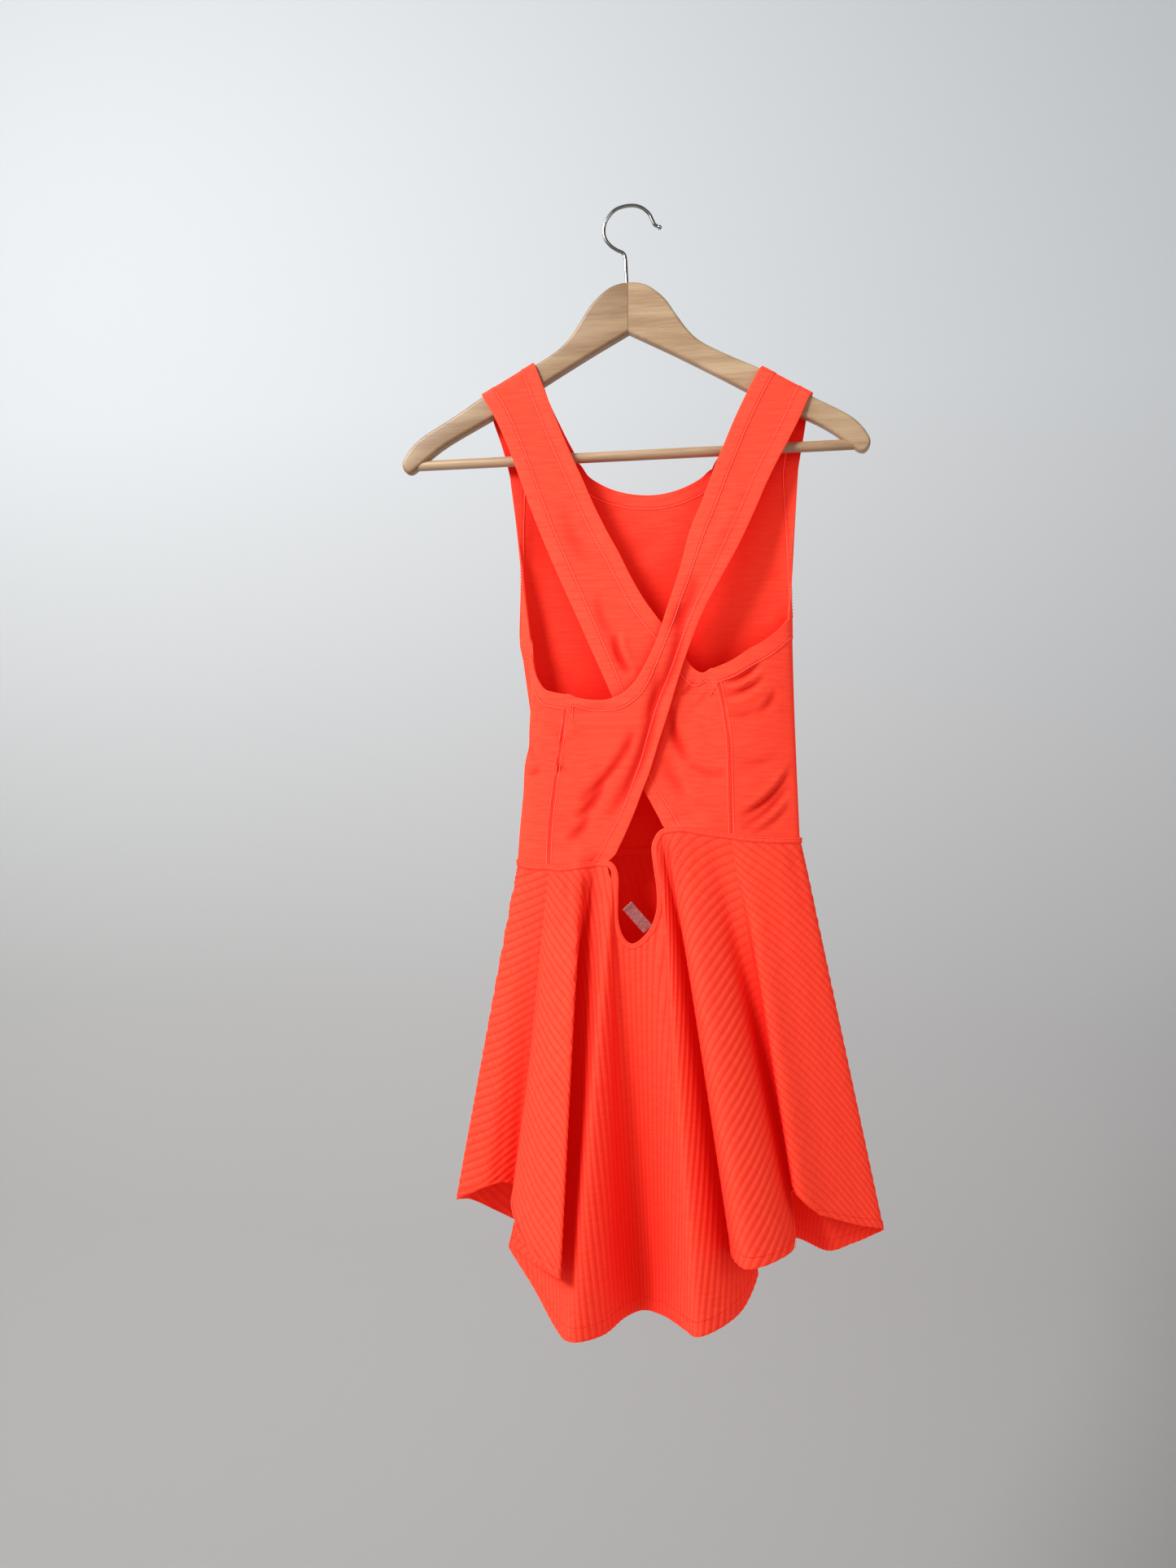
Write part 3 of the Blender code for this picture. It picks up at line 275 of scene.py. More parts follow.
def add_range(material, value, low, high):
    """The value as a share of the way from low to high."""
    ends = {"From Min": low, "From Max": high}
    return add_node(material, "ShaderNodeMapRange", {"Value": value}, ends).outputs["Result"]


def add_ramp(material, factor, low, high):
    """A blend of two colours, each given as its position and its hex value."""
    ramp = add_node(material, "ShaderNodeValToRGB", {"Fac": factor})
    for element, (position, colour) in zip(ramp.color_ramp.elements, (low, high)):
        element.position = position
        element.color = linear(colour)
    return ramp.outputs["Color"]


def add_noise(material, place, scale, slope=0.0, **look):
    """Noise with its own scale in each direction, turned by a slope about Y."""
    turned = add_node(
        material, "ShaderNodeMapping", {"Vector": place}, {"Rotation": (0.0, slope, 0.0), "Scale": scale}
    )
    noise = add_node(
        material, "ShaderNodeTexNoise", {"Vector": turned.outputs["Vector"]}, {"Scale": 1.0, **look}
    )
    return noise.outputs["Fac"]


def add_bump(material, height, strength, distance, under=None):
    """A bump in the surface, on top of the one under it."""
    links = {"Height": height}
    if under is not None:
        links["Normal"] = under
    values = {"Strength": strength, "Distance": distance}
    return add_node(material, "ShaderNodeBump", links, values).outputs["Normal"]


# %% [markdown]
# ## Coral jersey
# The cloth is a viscose and elastane jersey dyed a fluorescent coral. It is matt with a short pale
# nap, so it gets a high roughness and a little sheen. Close up it has slubs: thin yarn that runs
# across the cloth and puckers a little. A noise stretched along the courses draws them in the cut's
# own millimetres, so they bend with the cloth.
#
# Such a dye glows, and between two coral walls the light loses its green and blue. A path tracer
# with few bounces shows too little of that. So shade is painted in: each place mixes in a full dark
# red by how enclosed it is, and by how deep it lies in a crease, which each mesh keeps in its
# attribute "trough". The painted red glow is weaker in those places too.

# %% Jersey for the bodice, its bands and the skirt

SLUB_PITCH = 2.6 * MM
SLUB_STRETCH = 0.12
SLUB_HEIGHT = 0.6 * MM
KNIT_PITCH = 0.9 * MM
KNIT_HEIGHT = 0.15 * MM
RIB_PITCH = 7.2
RIB_BUMP = 0.2 * MM
# The painted shade in the ribs' grooves.
GROOVE_SHADE = "#F0D0CA"
# Painted glow: the cloth gives out a steady red light, for the dye's fluorescence, so its shadows stay a
# full red.
PAINTED_GLOW_COLOUR = "#FF1004"
PAINTED_GLOW = 0.34
# Painted shade: the dark red that enclosed places are mixed toward, and how far round they look for cloth.
FOLD_SHADE = "#D20400"
PAINTED_SHADE_REACH = 100.0 * MM
# The open share of the sky at which a fold has its full painted shade, and at which it has none of it.
FOLD_CLOSED = 0.3
FOLD_OPEN = 0.93
# How far a full crease goes to the painted fold shade, and the share of the painted glow left inside a
# fold.
CREASE_SHARE = 0.75
FOLD_PAINTED_GLOW = 0.45


def ribbed_look(material, cut, rib_pitch, colour, lumps):
    """Paints shade into the grooves between the ribs and raises their crests. The ribs are upright in the
    cut.
    """
    parted = add_node(material, "ShaderNodeSeparateXYZ", {"Vector": cut})
    turns = add_math(material, "MULTIPLY", parted.outputs["X"], 2 * math.pi / (rib_pitch * MM))
    crest = add_math(material, "MULTIPLY_ADD", add_math(material, "COSINE", turns), 0.5, 0.5)
    # Painted shade: the grooves darken along the rib wave.
    grooves = add_ramp(material, crest, (0.0, GROOVE_SHADE), (0.45, "#FFFFFF"))
    sources = {6: colour, 7: grooves}
    darkened = add_node(
        material, "ShaderNodeMix", sources, {0: 1.0}, data_type="RGBA", blend_type="MULTIPLY"
    )
    return darkened.outputs[2], add_bump(material, crest, 0.8, RIB_BUMP, lumps)


def coral_cloth(name, lit, deep, slub_strength, rib_pitch=0.0):
    """Fluorescent coral knit: slubs along the courses, a fine knit and, where it has them, ribs, with
    painted shade in folds and creases.
    """
    material, shader = new_material(
        name,
        lit,
        {
            "Roughness": 0.88,
            "Specular IOR Level": 0.2,
            "Sheen Weight": 0.12,
            "Sheen Roughness": 0.5,
            "Sheen Tint": linear("#FF8F7A"),
            "Emission Color": linear(PAINTED_GLOW_COLOUR),
        },
    )
    cut = add_node(material, "ShaderNodeUVMap", uv_map="cut").outputs["UV"]
    slubs = add_noise(material, cut, (SLUB_STRETCH / SLUB_PITCH, 1.0 / SLUB_PITCH, 1.0), Detail=3.0)
    knit = add_noise(material, cut, (1.0 / KNIT_PITCH, 0.6 / KNIT_PITCH, 1.0))
    colour = add_ramp(material, slubs, (0.3, deep), (0.7, lit))
    lumps = add_bump(material, slubs, slub_strength, SLUB_HEIGHT)
    if rib_pitch:
        colour, lumps = ribbed_look(material, cut, rib_pitch, colour, lumps)
    # Painted shade: a place goes to the dark red by how enclosed it is and how deep its crease is.
    sky = add_node(material, "ShaderNodeAmbientOcclusion", None, {"Distance": PAINTED_SHADE_REACH}, samples=8)
    open_share = add_range(material, sky.outputs["AO"], FOLD_CLOSED, FOLD_OPEN)
    trough = add_node(material, "ShaderNodeAttribute", attribute_name="trough").outputs["Fac"]
    raised = add_math(material, "MULTIPLY_ADD", trough, -CREASE_SHARE, 1.0)
    reached = add_math(material, "MULTIPLY", open_share, raised)
    # Painted glow: red emission, weaker in enclosed places and creases.
    painted_glow = add_math(material, "MULTIPLY_ADD", reached, PAINTED_GLOW * (1.0 - FOLD_PAINTED_GLOW), PAINTED_GLOW * FOLD_PAINTED_GLOW)
    folded = add_node(
        material, "ShaderNodeMix", {0: reached, 7: colour}, {6: linear(FOLD_SHADE)}, data_type="RGBA"
    )
    links = material.node_tree.links
    links.new(painted_glow, shader.inputs["Emission Strength"])
    links.new(folded.outputs[2], shader.inputs["Base Color"])
    links.new(add_bump(material, knit, 0.35, KNIT_HEIGHT, lumps), shader.inputs["Normal"])
    return material


jersey = coral_cloth("slub_viscose_jersey", "#FB553B", "#F5462F", 0.36)
band_jersey = coral_cloth("folded_jersey_band", "#FC5940", "#F74B33", 0.25)
ribbed = coral_cloth("ribbed_viscose_jersey", "#FC563B", "#F74A32", 0.12, RIB_PITCH)
# The threads carry the painted red glow too.
thread, _ = new_material(
    "polyester_thread",
    "#FF7058",
    {"Roughness": 0.6, "Emission Color": linear(PAINTED_GLOW_COLOUR), "Emission Strength": PAINTED_GLOW},
)
# Painted shade: the needle rows' thread is a darker red, for the shadow in the stitch holes, and glows
# less.
shaded_thread, _ = new_material(
    "polyester_thread_painted_shade",
    "#D81E10",
    {"Roughness": 0.7, "Emission Color": linear(PAINTED_GLOW_COLOUR), "Emission Strength": PAINTED_GLOW * 0.6},
)
print("cloth materials:", [m.name for m in (jersey, band_jersey, ribbed, thread, shaded_thread)])

# %% [markdown]
# ## Hanger
# The hanger is two halves of sawn hardwood, glued at a mitre in the middle, with a round bar let
# into their lower ends. A flat outline with a bevel gives the rounded arms at once, and a cut at
# the middle parts the halves, whose grain runs along each arm.

# %% The hanger's sizes

ARM_THICKNESS = 12.0
ARM_EDGE_ROUND = 3.0
MITRE_GAP = 0.3
BAR_RADIUS = 4.8
BAR_Z = -231.8
BAR_HALF = 205.0
WIRE_RADIUS = 1.65
HOOK_TIP_RADIUS = 2.05
HOOK_TIP_X = 29.0
HOOK_TIP_Z = -21.0

# One half of the hanger, from the middle outwards: distance along, height of the top edge.
HANGER_TOP = (
    ("out", "z"),
    (0, -71.5),
    (9, -72.3),
    (20, -76.5),
    (34, -88.5),
    (44, -103),
    (55, -118.5),
    (68, -131),
    (92, -144.5),
    (125, -161),
    (166, -186),
    (198, -204),
    (211, -215),
    (218.5, -226),
    (219.5, -233),
    (215.5, -239),
)
# The same half's lower edge, from the tip back to the middle.
HANGER_LOW = (
    ("out", "z"),
    (209, -238.5),
    (198, -229.5),
    (174, -213),
    (130, -190.5),
    (108, -178),
    (83, -163.5),
    (40, -139.5),
    (0, -118.5),
)
# The hook's wire, from the stem in the wood up and round to the tip.
HOOK_ROUTE = (
    ("x", "z"),
    (-1.8, -71),
    (-2.4, -60),
    (-3.2, -47.1),
    (-5.3, -42.3),
    (-11.2, -38.9),
    (-17.1, -34.4),
    (-21.8, -28.1),
    (-23.6, -21),
    (-22.4, -12.9),
    (-18.9, -6.8),
    (-13.6, -1.6),
    (-7, 0.9),
    (0, 1.65),
    (6.8, 0.9),
    (13.4, -2.1),
    (19.3, -7.8),
    (22.2, -13.8),
    (24.3, -18),
    (26.9, -20),
)

# %% [markdown]
# The wood is a pale lacquered hardwood with fine dark streaks, and the two halves were sawn from
# different boards, so they differ in tone. Noise stretched along each arm draws the streaks, where
# a picture of wood would show its seams.

# %% Wood and steel

GRAIN_PITCH = 1.1 * MM
GROWTH_SCALE = (8.0, 60.0, 70.0)
ARM_SLOPE = math.radians(27.0)


def hanger_wood(name, pale, dark, slope):
    """Lacquered wood: fine streaks along the arm, turned by the arm's slope."""
    material, shader = new_material(
        name, pale, {"Roughness": 0.42, "Coat Weight": 0.25, "Coat Roughness": 0.3}
    )
    place = add_node(material, "ShaderNodeTexCoord").outputs["Object"]
    streak_scale = (0.05 / GRAIN_PITCH, 0.6 / GRAIN_PITCH, 1.0 / GRAIN_PITCH)
    streaks = add_noise(material, place, streak_scale, slope, Detail=6.0, Distortion=0.6)
    growth = add_noise(material, place, GROWTH_SCALE, slope)
    tone = add_math(material, "MULTIPLY_ADD", streaks, 0.55, growth)
    colour = add_ramp(material, tone, (0.55, dark), (0.95, pale))
    links = material.node_tree.links
    links.new(colour, shader.inputs["Base Color"])
    links.new(add_bump(material, streaks, 0.15, 0.2 * MM), shader.inputs["Normal"])
    return material


left_wood = hanger_wood("lotus_wood_left", "#B08E69", "#8F6C49", ARM_SLOPE)
right_wood = hanger_wood("lotus_wood_right", "#CBAC88", "#AA8662", -ARM_SLOPE)
bar_wood = hanger_wood("lotus_wood_bar", "#C9A783", "#A68260", 0.0)
steel, _ = new_material("polished_steel_wire", "#A9A6A2", {"Metallic": 1.0, "Roughness": 0.22})

# %% [markdown]
# An arm is sawn from a board and its edges are rounded with a cutter. So one outline is filled as a
# flat curve with a thickness and a round bevel, and the mitre cuts it in the middle for each half.

# %% The arms from one outline

SHARP_ARM_ANGLE = math.radians(40.0)
SHARP_TUBE_ANGLE = math.radians(50.0)
ARM_MERGE = 1e-5
ARM_EDGE_STEPS = 6
# Steps from one row of the outline to the next, as a share of a row.
OUTLINE_STEP = 0.25


def mesh_of(curve_object):
    """Turns a curve into its mesh and removes the curve."""
    bpy.context.view_layer.update()
    graph = bpy.context.evaluated_depsgraph_get()
    mesh = bpy.data.meshes.new_from_object(curve_object.evaluated_get(graph))
    mesh.transform(curve_object.matrix_world)
    curve = curve_object.data
    bpy.data.objects.remove(curve_object)
    bpy.data.curves.remove(curve)
    return mesh


def outline_curve(name, outline):
    """A flat outline stood upright, with its thickness and its rounded edges."""
    curve = bpy.data.curves.new(name, "CURVE")
    curve.dimensions = "2D"
    curve.fill_mode = "BOTH"
    curve.extrude = (ARM_THICKNESS / 2 - ARM_EDGE_ROUND) * MM
    curve.bevel_depth = ARM_EDGE_ROUND * MM
    curve.bevel_resolution = ARM_EDGE_STEPS
    curve.offset = -ARM_EDGE_ROUND * MM
    spline = curve.splines.new("POLY")
    spline.points.add(len(outline) - 1)
    for point, (x, z) in zip(spline.points, outline):
        point.co = (x * MM, z * MM, 0.0, 1.0)
    spline.use_cyclic_u = True
    holder = bpy.data.objects.new(name, curve)
    holder.rotation_euler = (math.radians(90.0), 0.0, 0.0)
    bpy.context.scene.collection.objects.link(holder)
    return holder


half_outline = np.vstack([columns(HANGER_TOP, "out", "z"), columns(HANGER_LOW, "out", "z")])
fine_rows = np.arange(0.0, len(half_outline) - 0.99, OUTLINE_STEP)
half_outline = curve_through(half_outline)(fine_rows)
mirrored = [(-x, z) for x, z in half_outline[::-1] if x > 0.5]
arm_outline = [tuple(point) for point in half_outline] + mirrored
for side, sign, finish, slot in (
    ("left", -1.0, left_wood, "pale_lotus_wood"),
    ("right", 1.0, right_wood, "lotus_wood"),
):
    arm_mesh = mesh_of(outline_curve(f"arm_{side}_outline", arm_outline))
    built = bmesh.new()
    built.from_mesh(arm_mesh)
    bmesh.ops.remove_doubles(built, verts=built.verts, dist=ARM_MERGE)
    everything = built.verts[:] + built.edges[:] + built.faces[:]
    cut_at = Vector((sign * MITRE_GAP / 2 * MM, 0.0, 0.0))
    cut = bmesh.ops.bisect_plane(
        built, geom=everything, plane_co=cut_at, plane_no=(-sign, 0.0, 0.0), clear_outer=True
    )
    rim = [part for part in cut["geom_cut"] if isinstance(part, bmesh.types.BMEdge)]
    bmesh.ops.contextual_create(built, geom=rim)
    bmesh.ops.recalc_face_normals(built, faces=built.faces)
    built.to_mesh(arm_mesh)
    built.free()
    arm_mesh.shade_smooth()
    arm_mesh.set_sharp_from_angle(angle=SHARP_ARM_ANGLE)
    add_piece(f"arm_{side}", arm_mesh, finish, [f"hanger_arm_{side}"])
print("arm outline points:", len(arm_outline))

# %% [markdown]
# The bar is turned round and the hook is bent from one wire, and each is a curve with a round
# bevel. A small ball stands for the hook's rounded end.

# %% The bar and the hook

BAR_STEPS = 8
WIRE_STEPS = 6
BAR_POINTS = 9
HOOK_POINTS = 110
TIP_SEGMENTS = (32, 20)


def tube_mesh(name, route, radius, resolution):
    """A round bar or wire along a route in mm, with closed ends."""
    curve = bpy.data.curves.new(name, "CURVE")
    curve.dimensions = "3D"
    curve.bevel_depth = radius * MM
    curve.bevel_resolution = resolution
    curve.use_fill_caps = True
    spline = curve.splines.new("POLY")
    spline.points.add(len(route) - 1)
    for point, place in zip(spline.points, route):
        point.co = (*(Vector(place) * MM), 1.0)
    holder = bpy.data.objects.new(name, curve)
    bpy.context.scene.collection.objects.link(holder)
    mesh = mesh_of(holder)
    clean_mesh(mesh)
    mesh.set_sharp_from_angle(angle=SHARP_TUBE_ANGLE)
    return mesh


bar_route = [(x, 0.0, BAR_Z) for x in np.linspace(-BAR_HALF, BAR_HALF, BAR_POINTS)]
bar_mesh = tube_mesh("bar", bar_route, BAR_RADIUS, BAR_STEPS)
add_piece("bar", bar_mesh, bar_wood, ["hanger_bar"])
hook_places = columns(HOOK_ROUTE, "x", "z")
hook_places = np.stack([hook_places[:, 0], 0.0 * hook_places[:, 0], hook_places[:, 1]], axis=1)
hook_smooth = curve_through(hook_places)(np.linspace(0.0, len(hook_places) - 1.001, HOOK_POINTS))
hook_mesh = tube_mesh("hook", hook_smooth, WIRE_RADIUS, WIRE_STEPS)
add_piece("hook", hook_mesh, steel, ["hanger_hook"])
built = bmesh.new()
tip_place = Matrix.Translation(Vector((HOOK_TIP_X, 0.0, HOOK_TIP_Z)) * MM)
across, down = TIP_SEGMENTS
bmesh.ops.create_uvsphere(
    built, u_segments=across, v_segments=down, radius=HOOK_TIP_RADIUS * MM, matrix=tip_place
)
tip_mesh = bpy.data.meshes.new("hook_tip")
built.to_mesh(tip_mesh)
built.free()
tip_mesh.shade_smooth()
add_piece("hook_tip", tip_mesh, steel, ["hanger_hook_tip"])
print("hook wire:", 2 * WIRE_RADIUS, "mm thick")

# %% [markdown]
# ## The waist ring
# The bodice and the skirt meet in one closed seam, which drops into a U at the keyhole. The whole
# dress hangs from this ring's shape, so it comes first: one table row for each fold of the skirt,
# with its place at the waist, in the flat cut and at the hem.

# %% Cloth sizes and the skirt's folds

# Thicknesses of the jersey, its folded bands and the ribbed jersey, in mm.
WALL = 1.2
BAND_WALL = 2.0
SKIRT_WALL = 1.6
STRAP_ROLL_RADIUS = 7.9
STRAP_LIFT = 1.0
STRAP_BAND = 14.0
# The two edges of each strap where it lies on the hanger.
RIGHT_SHOULDER = (122.0, 167.0)
LEFT_SHOULDER = (-89.0, -139.5)
# The front's columns over which its side edge is drawn onto the back's.
SIDE_BLEND_COLUMNS = 5.0
BINDING_HALF_WIDTH = 3.0
BINDING_THICKNESS = 3.0
# The cloth ends inside the folded binding, so no light comes through the waist seam.
TUCK = 0.7
# The flattened ring of the body at the waist, which says which way is out.
RING_CENTRE_X = 26.0
RING_HALF_X = 133.0
RING_HALF_Y = 17.0
RIB_HEIGHT = 0.6
# The flat cut: each half's waist radius, and the keyhole's notch in the back half.
BACK_WAIST_RADIUS = 84.0
FRONT_WAIST_RADIUS = 174.0
NOTCH_LEFT = -18.0
NOTCH_RIGHT = 25.2
NOTCH_SIDE = 61.0
SKIRT_HALF_ANGLE = math.radians(60.0)

# The skirt's folds, in order from the left back seam across the back. Each row is one line of
# cloth from the waist to the hem. cut_x and drop place its top end in the flat cut: the distance
# from the middle, and how far below the waist's arc the keyhole's edge hangs. hem_angle is the
# angle of its lower end in the flat cut.
SKIRT_BACK = (
    ("waist_x", "waist_y", "waist_z", "cut_x", "drop", "hem_x", "hem_y", "hem_z", "hem_angle"),
    (-73, -15, -616, -72.7, 0, -111, 12, -925, -60),
    (-63, -17, -617, -64, 0, -110, -8, -941, -56.5),
    (-53, -19, -616, -55, 0, -86, -42, -962, -51),
    (-43, -21, -614, -45, 0, -52, -68, -976, -45),
    (-35, -18, -613, -37.5, 0, -86, -20, -984, -37),
    (-28, -16, -612, -31, 0, -121, 25, -987, -30),
    (-21, -18, -612, -24.5, 0, -88, -8, -1012, -24),
    (-14, -20, -613, -18, 0, -60, -38, -1035, -18),
    (-9.5, -20.5, -622, -18, 12, -42, -62, -1034, -13.5),
    (-9.5, -20.5, -642, -18, 30, -18, -44, -1034, -9.5),
    (-9.5, -20, -662, -18, 48, -4, -12, -1032, -5.5),
    (-6, -19.5, -677, -18, 62, 8, 4, -1031, -2),
    (1, -19, -686, -9, 73, 18, 5, -1030, 0.5),
    (9, -19, -687, 4, 77, 28, -6, -1027, 3),
    (18, -19, -680.5, 16.5, 74, 39, -22, -1023, 5.5),
    (26.5, -19.5, -669, 25.2, 62, 50, -40, -1020, 8.5),
    (31.5, -20, -653, 25.2, 46, 60, -56, -1018, 11),
    (31.5, -20.5, -633, 25.2, 28, 72, -70, -1016, 14),
    (28.5, -20.5, -612, 25.2, 11, 94, -52, -1011, 17.5),
    (27, -20, -596, 25.2, 0, 109, -26, -1004, 21),
    (30, -18, -587, 31, 0, 119, 3, -985, 26),
    (34, -18, -582.5, 37, 0, 112, -26, -962, 32),
    (40, -20, -580.5, 42.5, 0, 99.5, -50, -951, 37.5),
    (48, -21, -579.5, 48, 0, 113, -76, -952, 42),
    (57, -20, -580, 54, 0, 137, -62, -949, 46),
    (67, -19, -582, 60, 0, 153, -34, -944, 50.5),
    (81, -16.5, -584, 67, 0, 151, 5, -925, 55.5),
    (96, -14, -586, 72.7, 0, 156.5, -14, -906, 60),
)
# The ring's rows at the keyhole's two corners, and how far the bodice stops short of them.
CORNER_LEFT_ROW = 7
CORNER_RIGHT_ROW = 21
LEFT_CORNER_TRIM = 0.4
RIGHT_CORNER_TRIM = 0.6

# The skirt's front, from the right back seam round the right side.
SKIRT_RIGHT_SIDE = (
    ("waist_x", "waist_y", "waist_z", "cut_x", "drop", "hem_x", "hem_y", "hem_z", "hem_angle"),
    (96, -14, -586, -150.7, 0, 156.5, -14, -906, -60),
    (102, -13, -587, -147.5, 0, 152, -34, -894, -57),
    (109, -12, -588, -143.5, 0, 162, -37, -911, -55),
    (121, -9, -589, -137, 0, 185, -20, -924, -51),
    (140, -3, -590, -125.5, 0, 210, -3, -935, -46),
    (157, 6, -590, -112, 0, 231, 13, -943, -41),
    (154, 13, -590, -105, 0, 222, 27, -955, -38),
    (147, 16, -591, -98, 0, 204, 25, -963, -34.5),
)
# The skirt's front where it lies against the wall: plain waves, wall side and room side in turn.
FRONT_WAVES = 9
FRONT_WAVE_START = (138.0, 17.0, -591.0, -91.0, 0.0, 182.0, 30.0, -968.0, -31.0)
FRONT_WAVE_END = (-84.0, 16.0, -609.0, 118.0, 0.0, -100.0, 40.0, -978.0, 42.0)
FRONT_WALL_SIDE_Y = 47.0
FRONT_ROOM_SIDE_Y = 18.0
FRONT_LEFT_ROOM_SIDE_Y = 36.0
LEFT_WAVES_FROM = 0.72
# The skirt's front round the left side to the left back seam.
SKIRT_LEFT_SIDE = (
    ("waist_x", "waist_y", "waist_z", "cut_x", "drop", "hem_x", "hem_y", "hem_z", "hem_angle"),
    (-96, 14, -611, 125.5, 0, -140, 36, -957, 46.5),
    (-103, 10, -612, 131, 0, -160, 28, -946, 49),
    (-107, 3, -613, 136, 0, -169.5, 12, -940, 51.5),
    (-97, -8, -615, 141.5, 0, -142, 4, -926, 54.5),
    (-85, -12.5, -616, 146, 0, -125, 8, -920, 57.5),
    (-73, -15, -616, 150.7, 0, -111, 12, -925, 60),
)

# %% [markdown]
# Two closed curves pass through the rows of all the folds: one along the waist and one along the
# hem. At each place of the waist a frame of three ways says where along the seam, up and out are.

# %% The ring that the folds make

FLAT_RING_POWER = 5
ALONG_SEAM = 0.02


def front_wave_rows():
    """Rows for the plain waves at the wall, between a first and a last row."""
    start = np.array(FRONT_WAVE_START)
    end = np.array(FRONT_WAVE_END)
    rows = []
    for i in range(FRONT_WAVES + 1):
        share = i / FRONT_WAVES
        row = start + (end - start) * share
        room_side = FRONT_ROOM_SIDE_Y if share < LEFT_WAVES_FROM else FRONT_LEFT_ROOM_SIDE_Y
        row[6] = room_side if i % 2 == 0 else FRONT_WALL_SIDE_Y
        rows.append(row)
    return np.array(rows)


FOLD_NAMES = SKIRT_BACK[0]
BACK_ROWS = columns(SKIRT_BACK, *FOLD_NAMES)
right_side = columns(SKIRT_RIGHT_SIDE, *FOLD_NAMES)
left_side = columns(SKIRT_LEFT_SIDE, *FOLD_NAMES)
FRONT_ROWS = np.vstack([right_side, front_wave_rows(), left_side])
SEAM_RIGHT_ROW = len(BACK_ROWS) - 1
RING_ROWS = np.vstack([BACK_ROWS, FRONT_ROWS[1:-1]])
RING_COUNT = len(RING_ROWS)
waist_at = curve_through(RING_ROWS[:, 0:3], closed=True)
hem_at = curve_through(RING_ROWS[:, 5:8], closed=True)


def ring_outward(points):
    """Level, out of the flattened ring of the body."""
    across = (points[:, 0] - RING_CENTRE_X) / RING_HALF_X
    deep = points[:, 1] / RING_HALF_Y
    out = np.zeros_like(points)
    out[:, 0] = np.sign(across) * np.abs(across) ** FLAT_RING_POWER / RING_HALF_X
    out[:, 1] = np.sign(deep) * np.abs(deep) ** FLAT_RING_POWER / RING_HALF_Y
    return unit(out)


def waist_frame(k):
    """Places on the waist seam, the way out of the cloth and the way up across the binding."""
    points = waist_at(k)
    along = unit(waist_at(k + ALONG_SEAM) - waist_at(k - ALONG_SEAM))
    outward = ring_outward(points)
    up = unit(np.cross(outward, along))
    outward = unit(np.cross(along, up))
    return points, outward, up


def bodice_waist(k):
    """The bodice's lower edge, tucked under the binding."""
    points, _, up = waist_frame(k)
    return points + up * (BINDING_HALF_WIDTH - TUCK)


def skirt_waist(k):
    """The skirt's upper edge, tucked under the binding."""
    points, _, up = waist_frame(k)
    return points - up * (BINDING_HALF_WIDTH - TUCK)


def surface_normals(points, hint):
    """The way out of a grid of points, on the hint's side."""
    normals = np.cross(np.gradient(points, axis=1), np.gradient(points, axis=0))
    normals = unit(normals)
    return normals if np.sum(normals * hint) > 0 else -normals


print("folds in the skirt's ring:", RING_COUNT)

# %% [markdown]
# ## The ribbed skirt
# Each half is a sector of a circle, cut flat from ribbed jersey, and gravity folds it into flutes.
# A flat cut bends only along straight lines, so every point of the cut is carried along the line
# that joins its place at the waist to its place at the hem. The ribs are upright in the cut, which
# makes them run slantwise over the side flutes, and meet in chevrons at the seams, as cut cloth does.

# %% The flat cut and its place in space

# Fold lines between two rows of a table, and how far past its ends a line may still carry a point.
LINES_TO_A_FOLD = 40
PAST_END = 0.2


def make_skirt_cut(rows, waist_radius, first_k):
    """Both ends of each fold line, in the flat cut and in space."""
    cut_x, drop, angle = rows[:, 3], rows[:, 4], np.radians(rows[:, 8])
    radius = waist_radius + drop
    top = np.stack([cut_x, -np.sqrt(radius**2 - cut_x**2)], axis=1)
    lengths = np.linalg.norm(rows[:, 5:8] - rows[:, 0:3], axis=1)
    way = np.stack([np.sin(angle), -np.cos(angle)], axis=1)
    along = np.sum(top * way, axis=1)
    reach = along + np.sqrt(along**2 - np.sum(top * top, axis=1) + lengths**2)
    hem = way * reach[:, None]
    fine = np.linspace(0.0, len(rows) - 1.0, LINES_TO_A_FOLD * (len(rows) - 1) + 1)
    tops = curve_through(top)(fine)
    hems = curve_through(hem)(fine)
    return tops, hems, skirt_waist(first_k + fine), hem_at(first_k + fine)


def place_on_skirt(cut, points):
    """Points of the flat cut, carried along the straight lines of the folds."""
    tops, hems, start, end = cut
    way = hems - tops
    length2 = np.sum(way * way, axis=1)
    placed = np.empty((len(points), 3))
    for n, point in enumerate(points):
        to_point = point - tops
        side = way[:, 0] * to_point[:, 1] - way[:, 1] * to_point[:, 0]
        share = (to_point[:, 0] * way[:, 0] + to_point[:, 1] * way[:, 1]) / length2
        near = (side[:-1] * side[1:] <= 0) & (share[:-1] > -PAST_END) & (share[:-1] < 1.0 + PAST_END)
        crosses = np.nonzero(near)[0]
        if len(crosses):
            best = crosses[np.argmin(np.abs(side[crosses]) + np.abs(side[crosses + 1]))]
            gap = side[best] - side[best + 1]
            part = side[best] / gap if gap else 0.0
        else:
            best, part = (0, 0.0) if abs(side[0]) < abs(side[-1]) else (len(side) - 2, 1.0)
        t = np.clip(share[best] + (share[best + 1] - share[best]) * part, 0.0, 1.0)
        top = start[best] + (start[best + 1] - start[best]) * part
        low = end[best] + (end[best + 1] - end[best]) * part
        placed[n] = top + (low - top) * t
    return placed


# %% [markdown]
# The skirt's mesh has its columns along the ribs, so that each rib is a true ridge. Small pleats
# fan out from the waist where the cloth is drawn in, and they fade down the skirt. The hem is
# turned up once, so its last rows stand a little proud.

# %% Ribs, hems and the two skirt pieces

